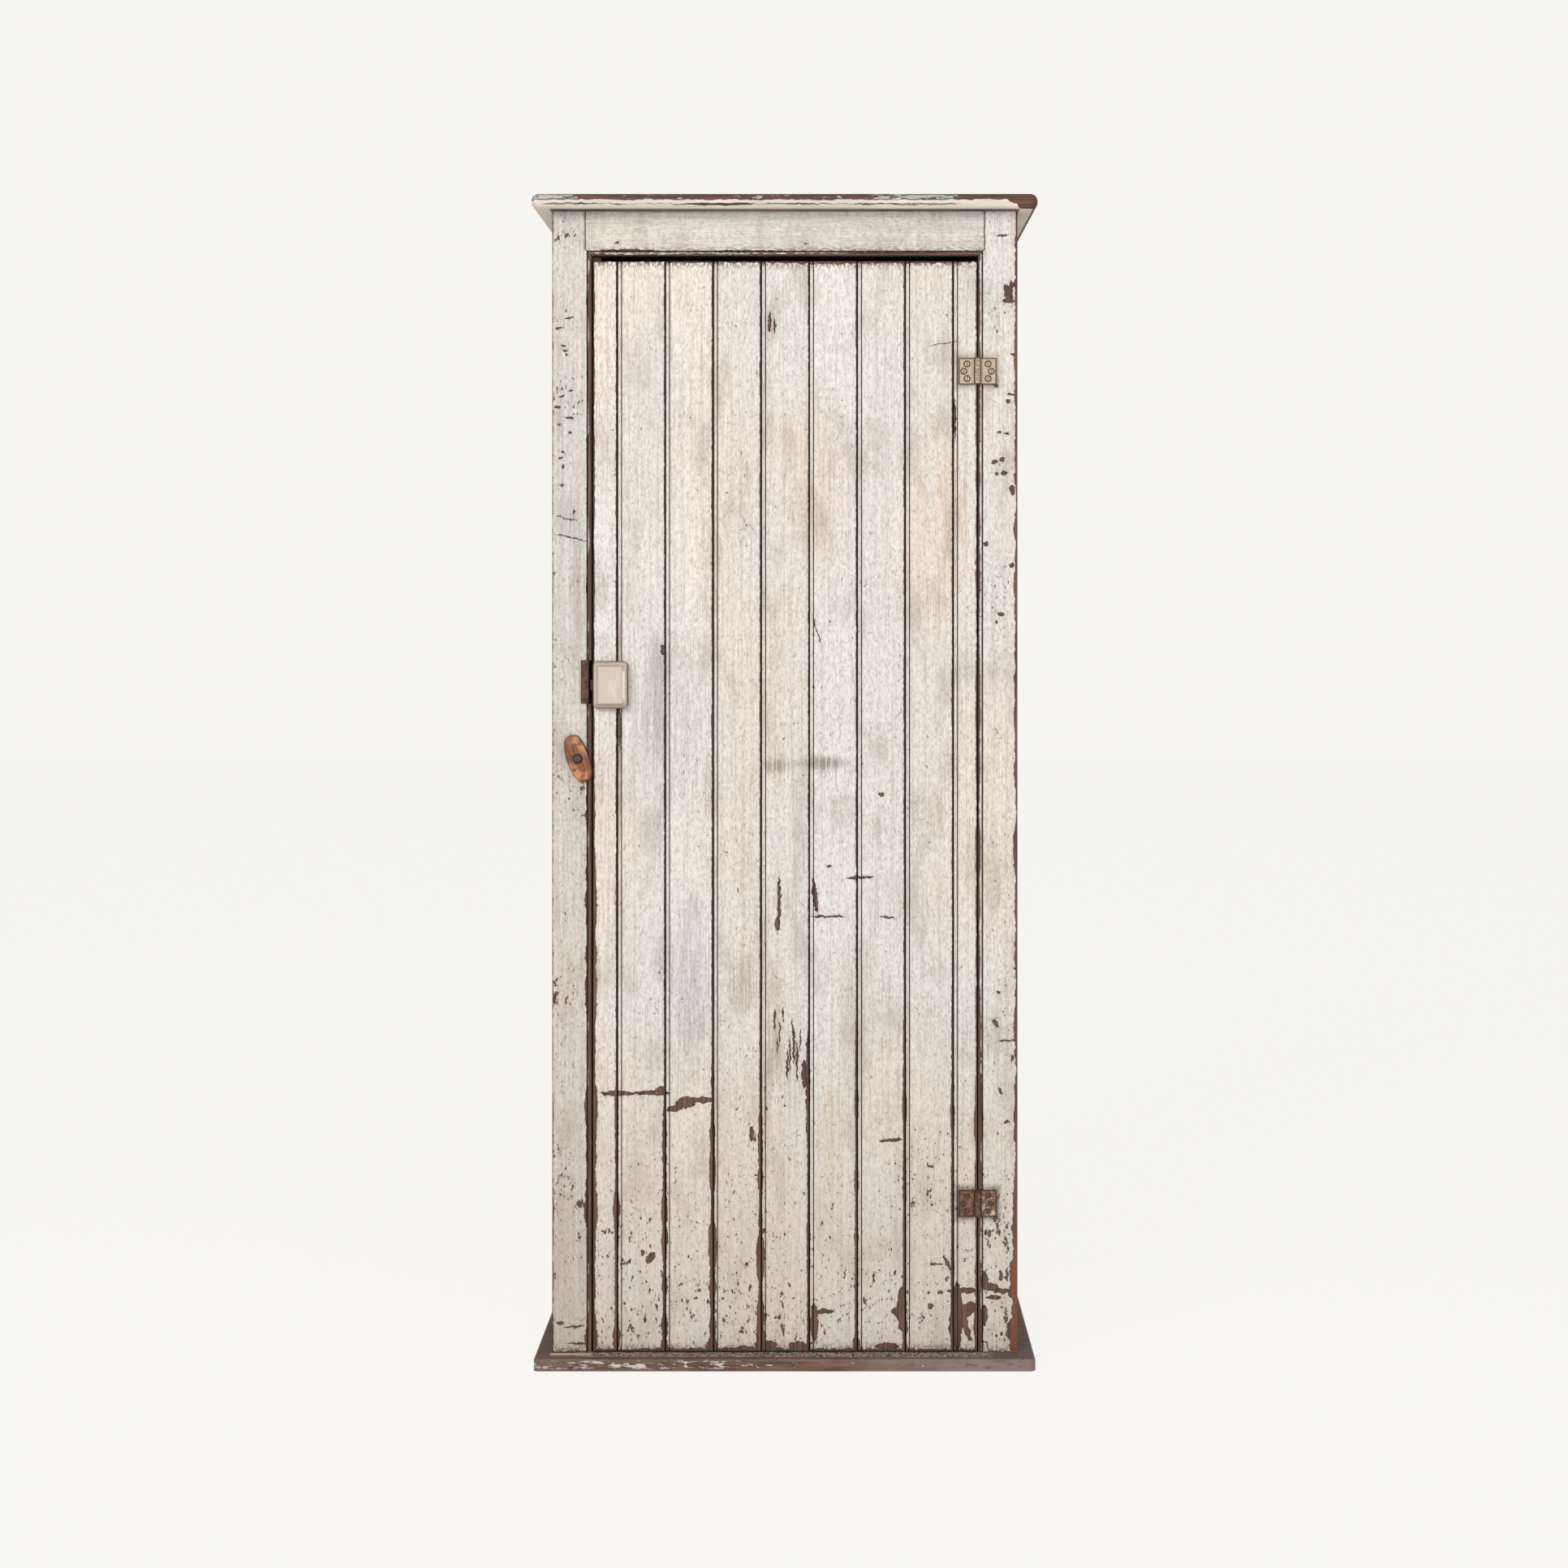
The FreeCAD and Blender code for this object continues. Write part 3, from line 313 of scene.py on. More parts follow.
def agedPaint(name, look):
    finish = Finish(name, look["plane"])
    ramp, blend, over, noise = finish.ramp, finish.blend, finish.over, finish.noise
    x, z = finish.x, finish.z
    along = look["along"]
    depth = look["depth"](finish)
    ragged = finish.shaken(7, 9, 3)
    ragged = finish.shaken(2.4, 1.6, 2, ragged)
    foot = ramp(z, look["wornHeight"], 40) * look["wornShare"]
    worn = foot + ramp(noise(160, 2), 0.42, 0.66) * look["patchy"]
    raggedPlace = finish.parts(ragged)[:2]
    bare = bareDepth(finish, look, ragged, raggedPlace, foot, worn)
    chipped = ramp(bare, -0.12, 0.12)
    rim = ramp(bare, -0.55, 0.1) * ramp(bare, 1.2, 0.3)

    # paint: cool and warm clouds, brush strokes, mottling, dirt
    cloud = noise(230, 3, 0.5, (1, 0.5, 1))
    paint = blend(ramp(cloud, 0.34, 0.66), look["cool"], look["warm"])
    paint = blend(finish.chanceOf(look["plank"](finish)) * 0.2, paint, look["deep"])
    streak = noise(2.4, 5, 0.68, along)
    brushAlong = [share if share == 1 else share / 2 for share in along]
    brush = noise(7, 4, 0.6, brushAlong)
    mottle = noise(3.4, 4, 0.66, look["mottled"])
    smear = noise(46, 6, 0.6, (1, 0.4, 1))
    for mark, colour, share in look["smears"]:
        patch = ramp(blot(raggedPlace, mark), 0, min(mark[2:4]) * 0.8)
        paint = blend(patch * ramp(streak, 0.2, 0.6) * share, paint, colour)
    faint = dashes(finish, finish.turned(14, ragged), 8, (2, 0.5, 1), 0.56 - worn * 0.3, 0.7)
    # pale flecks along paint ridges: painted highlights
    ridgeHighlight = dashes(finish, finish.turned(-20, ragged), 13, (1.6, 0.36, 1), 0.74, 0.8)
    # each layer: its pattern, where it starts and is full, its strength and its tone
    layers = (
        (streak, 0.48, 0.74, 0.55, "streak"), (streak, 0.5, 0.3, 0.5, "light"),
        (brush, 0.5, 0.72, 0.3, "streak"), (brush, 0.46, 0.28, 0.6, "light"),
        (mottle, 0.52, 0.76, 0.14, "grime"), (smear, 0.48, 0.72, 0.32, "grime"),
        (faint, -0.5, 0.2, 0.66, "grime"), (ridgeHighlight, -0.4, 0.3, 0.4, "light"),
    )
    for pattern, start, full, share, layerTone in layers:
        paint = over(paint, look[layerTone], pattern, start, full, share)
    near = ramp(bare, -8, -0.5)
    paint = blend(near * ramp(mottle, 0.32, 0.62) * 0.42, paint, look["grime"])
    paint = blend(ramp(z, look["wornHeight"], 20) * 0.42, paint, look["deep"])
    if look["hinged"]:
        # dirt and rust that crept from under the hinges
        for height, (colour, share) in zip(hinge["heights"], hinge["stains"]):
            out = abs(raggedPlace[0] - hinge["axis"]) - (hinge["leafEnd"] - hinge["axis"])
            away = out.most(abs(raggedPlace[1] - height) - hinge["tall"] / 2)
            halo = ramp(away, 14, -3) * (ramp(smear, 0.3, 0.6) * 0.4 + 0.6)
            paint = blend(halo * share, paint, colour)
    for place, reach in look["levels"]:
        dirty = ramp(abs(z - place), reach * 3 + 8, reach * 0.5)
        paint = blend(dirty * ramp(mottle, 0.42, 0.56) * 0.8, paint, look["stain"])

    wood, woodHeight = bareWood(finish, look["woodPale"], look["woodDark"], along)
    if look["edgeWood"]:
        place, height, colour = look["edgeWood"]
        redder = ramp(abs(x - place), 14, 8) * ramp(z, height + 30, height)
        wood = blend(redder, wood, colour)
    colour = blend(chipped, paint, wood)
    colour = blend(rim * 0.78, colour, look["rim"])
    if look["mitre"]:
        # the joint lines of the face frame, with a mitre through the bead
        outside = abs(x) - case["halfOpening"]
        above = z - case["openingTop"]
        reach = case["mitreReach"]
        seam = (0.9 - abs(outside - reach)).least(above - reach)
        mitre = (0.8 - abs(outside - above) * 0.7).least(reach - above).least(outside)
        seam = seam.most(mitre)
        dirty = ramp(seam, -3.5, 0) * ramp(mottle, 0.4, 0.6) * 0.5
        colour = blend(dirty, colour, look["grime"])
        colour = over(colour, look["rim"], seam, -0.3, 0.3)
    # darker the deeper a place lies below the face: dirt and painted shade in the quirks and in the gaps
    colour = over(colour, look["quirk"], depth, 0.8, 1.8, 0.85)
    colour = over(colour, look["groove"], depth, 3.3, 5)
    if look["inside"] is not None:
        inner = bareWood(finish, look["innerPale"], look["innerDark"], along, 5)[0]
        colour = blend(ramp(depth, look["inside"], look["inside"] + 0.4), colour, inner)
    rough = 0.5 + chipped * 0.3 + ramp(smear, 0.35, 0.7) * 0.14
    height = (1 - chipped) * 0.36 + streak * 0.16 + mottle * 0.06 + woodHeight * chipped * 0.3
    return finish.close(colour, rough, height, 0.6)


cream = {
    "plane": "xz",
    "cool": tone(244, 240, 234),
    "warm": tone(250, 237, 225),
    "deep": tone(202, 187, 171),
    "light": tone(241, 236, 228),
    "streak": tone(184, 170, 156),
    "grime": tone(156, 137, 119),
    "stain": tone(92, 68, 54),
    "woodPale": tone(124, 94, 78),
    "woodDark": tone(82, 56, 46),
    "rim": tone(40, 27, 22),
    "quirk": tone(84, 62, 50),
    "groove": tone(24, 17, 14),
    "innerPale": tone(176, 140, 98),
    "innerDark": tone(122, 88, 56),
    "wornHeight": 640,
    "wornShare": 0.8,
    "patchy": 0.4,
    "marks": [],
    "edges": [],
    "levels": [],
    "smears": [],
    "joints": None,
    "mitre": False,
    "hinged": False,
    "edgeWood": None,
    "inside": None,
    "plank": lambda finish: finish.x * 0,
    "depth": lambda finish: (finish.y - case["face"]) * finish.ramp(
        abs(finish.x), case["halfWidth"] - 0.3, case["halfWidth"] - 0.9),
    "along": (1, 0.025, 1),
    "mottled": (1, 0.5, 1),
}

# paint knocked off the door: across, height, half width, half height, and lean where a mark has one
doorMarks = [
    (-262, 425, 25, 4.2), (-206, 426, 26, 3.6), (-236, 424, 20, 2), (-194, 429, 8, 7),
    (-172, 402, 11, 6, -0.7), (-155, 411, 15, 9), (-130, 415, 18, 4.6), (117, 763, 19, 2.4, -4),
    (67, 702, 24, 1.7), (47, 735, 3.6, 26, 0.1), (160, 701, 9, 1.8, 3), (-9, 724, 2.6, 38),
    (-12, 690, 4, 10), (69, 780, 3, 2.6), (151, 894, 4, 3), (50, 1150, 1.1, 18, 0.3), (14, 500, 2, 26),
    (4, 470, 1.8, 22), (30, 455, 4, 22), (36, 430, 3.2, 90), (-16, 540, 1.6, 15), (-8, 520, 1.2, 16),
    (-3, 548, 1.1, 10), (8, 486, 1.1, 24), (19, 476, 1.5, 28), (24, 508, 1.1, 15), (-12, 500, 1.2, 11),
    (12, 528, 1.1, 12), (225, 114, 3, 2.5), (243, 114, 4, 2), (262, 116, 8, 2.6), (284, 117, 18, 4.6),
    (270, 76, 8, 52), (280, 84, 14, 12, -0.4), (291, 90, 9, 9), (283, 60, 5, 22, 0.3), (183, 88, 8, 34),
    (178, 84, 12, 8), (62, 84, 14, 3.6), (46, 66, 6, 30), (250, 1599, 4.8, 3.7, -6),
    (237, 158, 9, 1.3, 1.4), (254, 160, 3, 12, 0.5), (166, 352, 16, 3, -2), (228, 92, 4.5, 5),
    (-210, 168, 6, 9, -0.4), (-222, 176, 4, 4), (-30, 32, 18, 7), (20, 30, 14, 7), (160, 30, 18, 5),
    (-60, 26, 12, 4), (-191, 1119, 3, 8), (-24, 1632, 2.4, 15), (-16, 1626, 1.6, 12), (-52, 362, 4, 12),
    (-258.4, 1000, 2, 34), (266, 1480, 2, 30),
]
# places where the paint is only stained, or paler or warmer: mark, colour, strength
doorSmears = [
    ((60, 942, 56, 17), tone(124, 106, 92), 1), ((-12, 938, 40, 18), tone(146, 130, 116), 0.9),
    ((-205, 1540, 80, 170), tone(220, 219, 217), 0.6), ((-34, 1270, 76, 110), tone(236, 235, 233), 0.7),
    ((42, 1387, 84, 200), tone(226, 205, 188), 0.8), ((232, 1285, 86, 220), tone(249, 226, 207), 0.85),
    ((-186, 1005, 120, 190), tone(216, 213, 211), 0.7), ((-200, 1040, 26, 150), tone(160, 152, 148), 0.55),
    ((-148, 593, 44, 190), tone(196, 194, 198), 0.7), ((-258.6, 935, 4.5, 170), tone(146, 112, 90), 1),
    ((-258.6, 1150, 4, 90), tone(156, 124, 102), 0.9), ((-66, 587, 32, 60), tone(178, 160, 144), 0.6),
    ((74, 360, 34, 170), tone(228, 208, 180), 0.7), ((-20, 480, 22, 70), tone(146, 128, 120), 0.55),
    ((110, 560, 46, 160), tone(196, 178, 160), 0.5),
]

doorLook = dict(
    cream, marks=doorMarks, smears=doorSmears, inside=9,
    joints=(door["pitch"], door["firstJoint"]),
    plank=lambda finish: ((finish.x - door["firstJoint"]) / door["pitch"]).maths("FLOOR"),
    edges=[(door["left"], 1.5, 4.5, 800), (door["right"], 1.4, 3.6, 400)], hinged=True,
    levels=[(door["top"], 2.6), (door["bottom"], 2.6)],
)
leftLook = dict(
    cream, cool=tone(221, 219, 213), warm=tone(230, 222, 212), deep=tone(178, 158, 142),
    wornShare=0.6, patchy=1, inside=20, mitre=True,
    edges=[(-case["halfWidth"], 1, 1.5, 400), (-case["halfOpening"] - 1, 5, 7, 860)],
    levels=[(case["floor"], 2.4)],
    marks=[
        (-342, 1325, 3.6, 4, 4), (-335, 1295, 4.6, 5.4, 4.4), (-338, 1638, 6, 1.6), (-354, 1623, 4, 2, -1),
        (-346, 1595, 3, 1.6), (-343, 1588, 4, 2, 0.6), (-342, 1581, 2, 1.6), (-349, 1516, 3, 1.8),
        (-335, 1524, 1.8, 1.8), (-356, 1499, 4, 1.8), (-337, 1482, 5.6, 1.8, 1), (-353, 1473, 3, 1.6),
        (-337, 1459, 3, 1.8), (-347, 1429, 3, 1.8, 0.6), (-351, 1420, 3, 1.6), (-347, 1406, 2, 3),
        (-349, 1377, 3, 2.2), (-330, 1335, 1.4, 3), (-330, 60, 12, 2, -4), (-352, 66, 6, 3),
        (-318, 34, 20, 1.6),
    ],
    smears=[
        ((-340, 1330, 26, 50), tone(176, 173, 168), 0.7),
        ((-322, 1180, 12, 200), tone(168, 156, 144), 0.5),
        ((-340, 1480, 30, 160), tone(210, 212, 208), 0.6),
    ],
)
rightLook = dict(
    cream, wornShare=0.85, patchy=0.7, inside=20, mitre=True,
    edges=[(case["halfWidth"], 4, 12, 220), (case["halfOpening"] + 1, 1.8, 4.6, 500)],
    levels=[(case["floor"], 2.4)],
    edgeWood=(case["halfWidth"], 190, tone(122, 80, 54)),
    marks=[
        (345, 1683, 2.4, 10), (349, 1676, 2.6, 14), (354, 1681, 3.2, 16), (357, 1691, 3.6, 4),
        (350, 1665, 9, 3.4), (341, 1767, 8, 1.8), (368, 1772, 5, 7), (357, 1582, 5, 2, 1),
        (331, 1533, 4, 3), (355, 1519, 5, 1.8), (349, 1508, 3.4, 4), (335, 1459, 3.4, 2.2),
        (347, 1458, 4, 1.8), (328, 1413, 4.6, 3.6, -0.4), (340, 1417, 4.4, 3, -0.5), (331, 1395, 3.6, 2.4),
        (343, 1396, 5, 3.2, 0.4), (356, 1370, 4, 8), (366, 1430, 6, 60), (315, 1285, 4, 3),
        (355, 1252, 4, 4), (338, 1175, 4.6, 3), (331, 1163, 3, 2), (330, 535, 3, 6, 0.5), (334, 583, 3, 2),
        (356, 480, 2.4, 5), (347, 380, 4, 2.4), (337, 429, 2.4, 5, 0.5), (344, 116, 15, 3.6),
        (322, 122, 12, 6), (312, 132, 6, 14), (312, 78, 5, 16), (356, 57, 8, 7), (331, 47, 2.4, 2.4),
        (340, 48, 2.2, 2.2), (338, 140, 2.6, 8), (348, 142, 2, 10), (326, 106, 12, 3),
        (350, 508, 14, 1.4, -4), (364, 110, 8, 110),
    ],
    hinged=True,
)
railLook = dict(
    cream, along=(0.025, 1, 1), mottled=(0.4, 1, 1), inside=20, wornShare=0, patchy=0.12, mitre=True,
    cool=tone(226, 221, 214), warm=tone(231, 224, 214),
    levels=[(case["openingTop"], 4)],
    marks=[
        (-246, 1744, 40, 1.6), (-60, 1743, 60, 1.2), (180, 1741, 90, 1.2), (-263, 1756, 3, 2.4, -1),
        (34, 1754, 3, 1),
    ],
    smears=[
        ((-15, 1777, 13, 3.5), tone(246, 243, 236), 0.9), ((25, 1771, 16, 4), tone(246, 243, 236), 0.9),
        ((205, 1757, 18, 4), tone(252, 250, 246), 1), ((-268, 1791, 10, 3.4), tone(246, 243, 236), 0.8),
    ],
)
sideLook = dict(
    cream, plane="yz", wornShare=0.6, patchy=0.5,
    depth=lambda finish: case["halfWidth"] - abs(finish.x), inside=8,
    plank=lambda finish: ((finish.y - case["frameBack"]) / case["sidePitch"]).maths("FLOOR"),
    levels=[(case["floor"], 5), (case["top"], 2.4)],
)


def plainWood(name, look):
    finish = Finish(name)
    step = (finish.x - look["start"]) / look["pitch"]
    board = finish.chanceOf(step.maths("FLOOR"))
    shift = finish.node("CombineXYZ", None, {"Z": board * 900}).outputs[0]
    place = finish.shaken(look["wave"], 70, 2, finish.vector("ADD", finish.place, shift))
    colour, height = bareWood(finish, look["pale"], look["dark"], look["along"], look["grain"])
    colour = finish.blend(board * 0.35, colour, look["deep"])
    broad = finish.noise(look["grain"] * 5, 3, 0.5, look["along"], place)
    colour = finish.over(colour, look["deep"], broad, 0.35, 0.7, 0.5)
    stain = finish.noise(60, 4, 0.6)
    colour = finish.over(colour, look["dark"], stain, 0.55, 0.75, 0.4)
    speck = finish.noise(2.2, 2, 0.6)
    colour = finish.over(colour, look["dark"], speck, 0.66, 0.8, 0.5)
    line = finish.ramp(abs(step - step.maths("ROUND")) * look["pitch"], 1.3, 0.6)
    colour = finish.blend(line * look["jointed"], colour, look["joint"])
    return finish.close(colour, 0.62 + stain * 0.2, height, 0.4)


# the pitch is that of the back's boards
pine = {
    "pale": tone(184, 148, 104), "dark": tone(112, 80, 50), "deep": tone(150, 112, 72), "joint": tone(52, 38, 28),
    "grain": 6, "wave": 12, "pitch": case["halfWidth"] * 2 / 5, "start": -case["halfWidth"], "jointed": 0,
}

topLook = {
    "arris": 14,  # height of the nose's arris over the underside
    "chipLine": 7,  # height of the line of chips below it
    "bareCorner": 368,  # the right end of the nose is bare from about here
    "keptOnTop": 0.31,
    # where more white is left along the nose: middle, reach to none and to full, and how much
    "whiter": ((-360, 46, 24, 0.16), (205, 80, 40, 0.2)),
    "whiterMiddle": (-110, -30, 100, 140, 0.06),  # starts, full from and to, ends, and how much
    "cool": tone(222, 211, 198), "warm": tone(240, 227, 212), "streak": tone(168, 148, 130),
    "dust": tone(150, 136, 120), "woodPale": tone(120, 84, 66), "woodDark": tone(70, 47, 39),
    "flake": tone(202, 197, 188), "rim": tone(46, 32, 26), "arrisDirt": tone(58, 42, 34),
    "edgeDirt": tone(54, 44, 38), "underGrimeShadeDark": tone(62, 43, 34), "underGrimeShadePale": tone(112, 88, 72),
}


def topBoardFinish(name):
    finish, look = Finish(name), topLook
    ramp, blend, noise = finish.ramp, finish.blend, finish.noise
    x, z = finish.x, finish.z
    low, high = (corner.z for corner in boxInMm("top_board"))
    middle = low + look["arris"]
    ragged = finish.shaken(7, 14, 4)
    ragged = finish.shaken(1.6, 1.4, 2, ragged)
    raggedX, _, raggedZ = finish.parts(ragged)
    streak = noise(2.2, 5, 0.65, (0.03, 1, 1))
    cloud = noise(110, 4, 0.6, (0.4, 1, 1))
    paint = blend(ramp(cloud, 0.35, 0.65), look["cool"], look["warm"])
    paint = finish.over(paint, look["streak"], streak, 0.5, 0.74, 0.6)
    dust = ramp(z, high - 2, high) * ramp(cloud, 0.3, 0.7)
    paint = blend(dust * 0.5, paint, look["dust"])
    wood, woodHeight = bareWood(finish, look["woodPale"], look["woodDark"], (0.04, 1, 1))

    # the nose's upper half is mostly bare, with whitish flakes where white paint is left
    patch = noise(40, 5, 0.6, (0.3, 1, 1.4))
    whiter = sum(ramp(abs(raggedX - place), outer, inner) * share
                 for place, outer, inner, share in look["whiter"])
    start, full, lasts, end, share = look["whiterMiddle"]
    whiter = whiter + ramp(raggedX, start, full) * ramp(raggedX, end, lasts) * share
    onTop = ramp(z, high - 0.6, high - 0.1)
    whiter = whiter * (1 - onTop) + onTop * look["keptOnTop"]
    bare = (raggedZ - middle).least((patch - 0.26 - whiter) * 34)
    line = noise(50, 3, 0.6, (0.35, 1, 1))
    bare = bare.most((line - 0.5) * 9 - abs(raggedZ - (low + look["chipLine"])) * 0.9)
    corner = (raggedX - look["bareCorner"] + (raggedZ - low) * 2.1) * 0.4 + (patch - 0.5) * 20
    bare = bare.most(corner - onTop * 60)
    chipped = ramp(bare, -0.15, 0.15)
    rim = ramp(bare, -0.7, 0.1) * ramp(bare, 1.2, 0.3)
    colour = blend(chipped, paint, wood)
    flake = noise(8, 5, 0.68, (0.25, 1, 1))
    remnant = ramp(flake + whiter * (1 - onTop), 0.61, 0.65) * ramp(x, 350, 300)
    colour = blend(remnant * chipped * 0.85, colour, look["flake"])
    colour = blend(rim * 0.75, colour, look["rim"])
    arris = ramp(abs(raggedZ - middle), 1.4, 0.3) * ramp(x, 350, 290)
    colour = blend(arris * 0.8, colour, look["arrisDirt"])
    topEdge = ramp(raggedZ, high - 3.2, high - 1.2) * (1 - onTop)
    colour = blend(topEdge * ramp(flake, 0.3, 0.5) * 0.8, colour, look["edgeDirt"])
    # the underside in front of the case is darkened as grime and painted shade; beyond the case's sides it takes
    # the paint
    under = ramp(z, low + 0.9, low + 0.1)
    underGrimeAndShade = blend(ramp(patch, 0.35, 0.6), look["underGrimeShadeDark"], look["underGrimeShadePale"])
    underGrimeAndShade = blend(ramp(abs(x), case["halfWidth"], case["halfWidth"] + 4), underGrimeAndShade, paint)
    colour = blend(under, colour, underGrimeAndShade)
    height = (1 - chipped) * 0.5 + streak * 0.2 + woodHeight * chipped * 0.4 + flake * 0.25
    return finish.close(colour, 0.55 + chipped * 0.25, height, 0.6)


baseLook = {
    "woodPale": tone(132, 98, 82), "woodDark": tone(84, 58, 48), "cloud": tone(150, 122, 106),
    "weatheredGreySheen": tone(156, 142, 136), "stain": tone(66, 44, 36), "paint": tone(224, 216, 208),
    "rim": tone(54, 36, 30), "topDirt": tone(64, 45, 37), "crust": tone(44, 30, 25),
    "crustPaint": tone(206, 193, 178), "strip": tone(196, 181, 160),
    "doorLine": 10,  # how far before the frame's face the crust lies
    "stripPlace": (-334, 9),  # a painted strip under the left stile: across, and before the face
}


def baseBoardFinish(name):
    finish, look = Finish(name), baseLook
    ramp, blend, noise = finish.ramp, finish.blend, finish.noise
    x, z = finish.x, finish.z
    low, high = (corner.z for corner in boxInMm("base_board"))
    ragged = finish.shaken(5, 7, 3)
    _, raggedY, raggedZ = finish.parts(ragged)
    wood, woodHeight = bareWood(finish, look["woodPale"], look["woodDark"], (0.04, 0.4, 1), 3)
    cloud = noise(70, 4, 0.6, (0.5, 1, 1))
    colour = blend(ramp(cloud, 0.42, 0.7) * 0.5, wood, look["cloud"])
    # greyer towards the right end: weathered wood with a painted sheen
    greyAndSheen = ramp(x, 80, 300) * ramp(cloud, 0.35, 0.6)
    colour = blend(greyAndSheen * 0.55, colour, look["weatheredGreySheen"])
    dark = noise(12, 4, 0.65, (0.35, 1, 1))
    colour = finish.over(colour, look["stain"], dark, 0.56, 0.68, 0.7)

    # what is left of white paint along the front edge
    left = ramp(x, 60, -160) * 0.11
    flake = noise(6, 5, 0.66, (0.2, 1, 1))
    band = ramp(abs(raggedZ - (low + high) / 2), 8, 3)
    paint = ramp(flake + left, 0.63, 0.66) * band
    ring = ramp(flake + left, 0.57, 0.63) * (1 - paint) * band
    colour = blend(ring * 0.7, colour, look["rim"])
    colour = blend(paint * 0.9, colour, look["paint"])

    # crusted paint where the door meets the board
    onTop = ramp(z, high - 2.6, high - 0.8)
    colour = blend(onTop * 0.62, colour, look["topDirt"])
    crust = noise(6, 4, 0.7)
    outward = case["face"] - raggedY
    nearDoor = ramp(abs(outward - look["doorLine"]), 14, 8) * onTop * ramp(abs(x), 330, 316)
    colour = blend(ramp(crust, 0.5, 0.6) * nearDoor, colour, look["crust"])
    colour = blend(ramp(abs(crust - 0.5), 0.04, 0.012) * nearDoor, colour, look["crustPaint"])
    stripX, stripOut = look["stripPlace"]
    strip = ramp(abs(x - stripX), 34, 30) * ramp(abs(outward - stripOut), 7, 4) * onTop
    colour = blend(strip * 0.9, colour, look["strip"])
    height = woodHeight * 0.6 + paint * 0.5 + crust * onTop * 0.4
    return finish.close(colour, 0.62 + cloud * 0.2, height, 0.5)


# iron, screws and the turn button

def ironFinish(name, look):
    # old iron, with paint over it where look says so
    finish = Finish(name)
    blotch = finish.noise(9, 5, 0.65)
    fine = finish.noise(1.6, 4, 0.6)
    rust = finish.blend(finish.ramp(blotch, 0.35, 0.65), look["dark"], look["rust"])
    rust = finish.over(rust, look["deep"], fine, 0.5, 0.72, 0.7)
    covered = look["covered"](finish)
    flaked = finish.ramp(blotch + fine * 0.35 - covered * 0.42, 0.42, 0.47)
    paint = finish.blend(finish.ramp(fine, 0.4, 0.7) * 0.6, look["paint"], look["paintDeep"])
    colour = finish.blend(flaked, paint, rust)
    colour = finish.blend(look["lines"](finish, fine), colour, look["edge"])
    # painted highlights where the look gives glints
    colour = finish.blend(look["glints"](finish, fine), colour, look["glint"])
    height = (1 - flaked) * 0.4 + fine * 0.35 + blotch * 0.25
    return finish.close(colour, 0.5 + flaked * 0.32, height, 0.6)


def hingeLines(finish, fine):
    # dirt round a leaf's edge, its screws and its knuckles
    ramp = finish.ramp
    lower, upper = hinge["heights"]
    up = abs(finish.z - lower).least(abs(finish.z - upper))
    out = abs(finish.x - hinge["axis"])
    shake = (fine - 0.5) * 2.4
    inside = (hinge["tall"] / 2 - up).least((hinge["leafEnd"] - hinge["axis"]) - out) + shake
    lines = ramp(inside, 2.4, 1)
    for outward, upward in hinge["spots"]:
        away = ((out - outward) * (out - outward) + (up - upward) * (up - upward)).maths("SQRT") + shake
        ring = ramp(abs(away - hinge["headRing"]), 1.4, 0.6)
        lines = lines.most(ring * ramp(finish.z, -600, 1500))  # clearer on the painted upper hinge
    knuckle = ramp(abs(out - hinge["knuckle"]), 1.3, 0.5)
    spots = ramp(out, 4.6, 3.6) * ramp(fine, 0.5, 0.6)
    return lines.most(knuckle).most(spots) * 0.9


def inwards(finish, low, high):
    # how far inside a plate's outline a place is, in millimetres
    side = (finish.x - low.x).least(high.x - finish.x)
    return side.least(finish.z - low.z).least(high.z - finish.z)


def latchLines(finish, fine):
    # dirt round the case and along the foot of its bevel, and painted shade on the lower bevel
    low, high = boxInMm("latch_case")
    inside = inwards(finish, low, high) + (fine - 0.5) * 1.6
    lines = finish.ramp(inside, 2.4, 0.8) * 0.95
    bevelFoot = finish.ramp(abs(inside - 7.4), 1.5, 0.3) * 0.6
    # painted shade on the lower bevel
    foot = finish.ramp(finish.z - low.z, 8.5, 6.5) * 0.35
    head = finish.ramp(high.z - finish.z, 10, 5) * finish.ramp(fine, 0.42, 0.6) * 0.5
    return lines.most(bevelFoot).most(foot).most(head)


def latchGlints(finish, fine):
    # painted highlights: down the right bevel and in streaks down the middle of the front
    low, high = boxInMm("latch_case")
    tall = finish.ramp(finish.z - low.z, 8, 20) * finish.ramp(high.z - finish.z, 10, 20)
    bevel = finish.ramp(abs(high.x - finish.x - 6), 2.4, 0.8) * 0.9
    paleHighlight = finish.noise(7, 3, 0.6, (1, 1, 0.14))
    middle = finish.ramp(abs((low.x + high.x) / 2 + 3 - finish.x), 14, 4)
    middle = middle * finish.ramp(paleHighlight, 0.5, 0.7) * 0.34
    return bevel.most(middle) * tall


def keeperLines(finish, fine):
    inside = inwards(finish, *boxInMm("keeper_plate")) + (fine - 0.5) * 2
    return finish.ramp(inside, 1.6, 0.4) * 0.8


iron = {
    "dark": tone(72, 50, 40), "rust": tone(144, 104, 79), "deep": tone(88, 55, 41), "edge": tone(48, 31, 25),
    "paint": tone(204, 184, 156), "paintDeep": tone(150, 122, 94), "glint": tone(252, 246, 236),
    "covered": lambda finish: finish.z * 0,
    "lines": lambda finish, fine: fine * 0,
    "glints": lambda finish, fine: fine * 0,
}


def hingePaint(finish):
    # the upper hinge keeps its paint, the lower one only scraps on its frame leaf
    scraps = finish.ramp(finish.x, hinge["axis"] + 3, hinge["axis"] + 8) * 0.3
    return finish.ramp(finish.z, 400, 1200) * 1.45 + scraps + 0.1


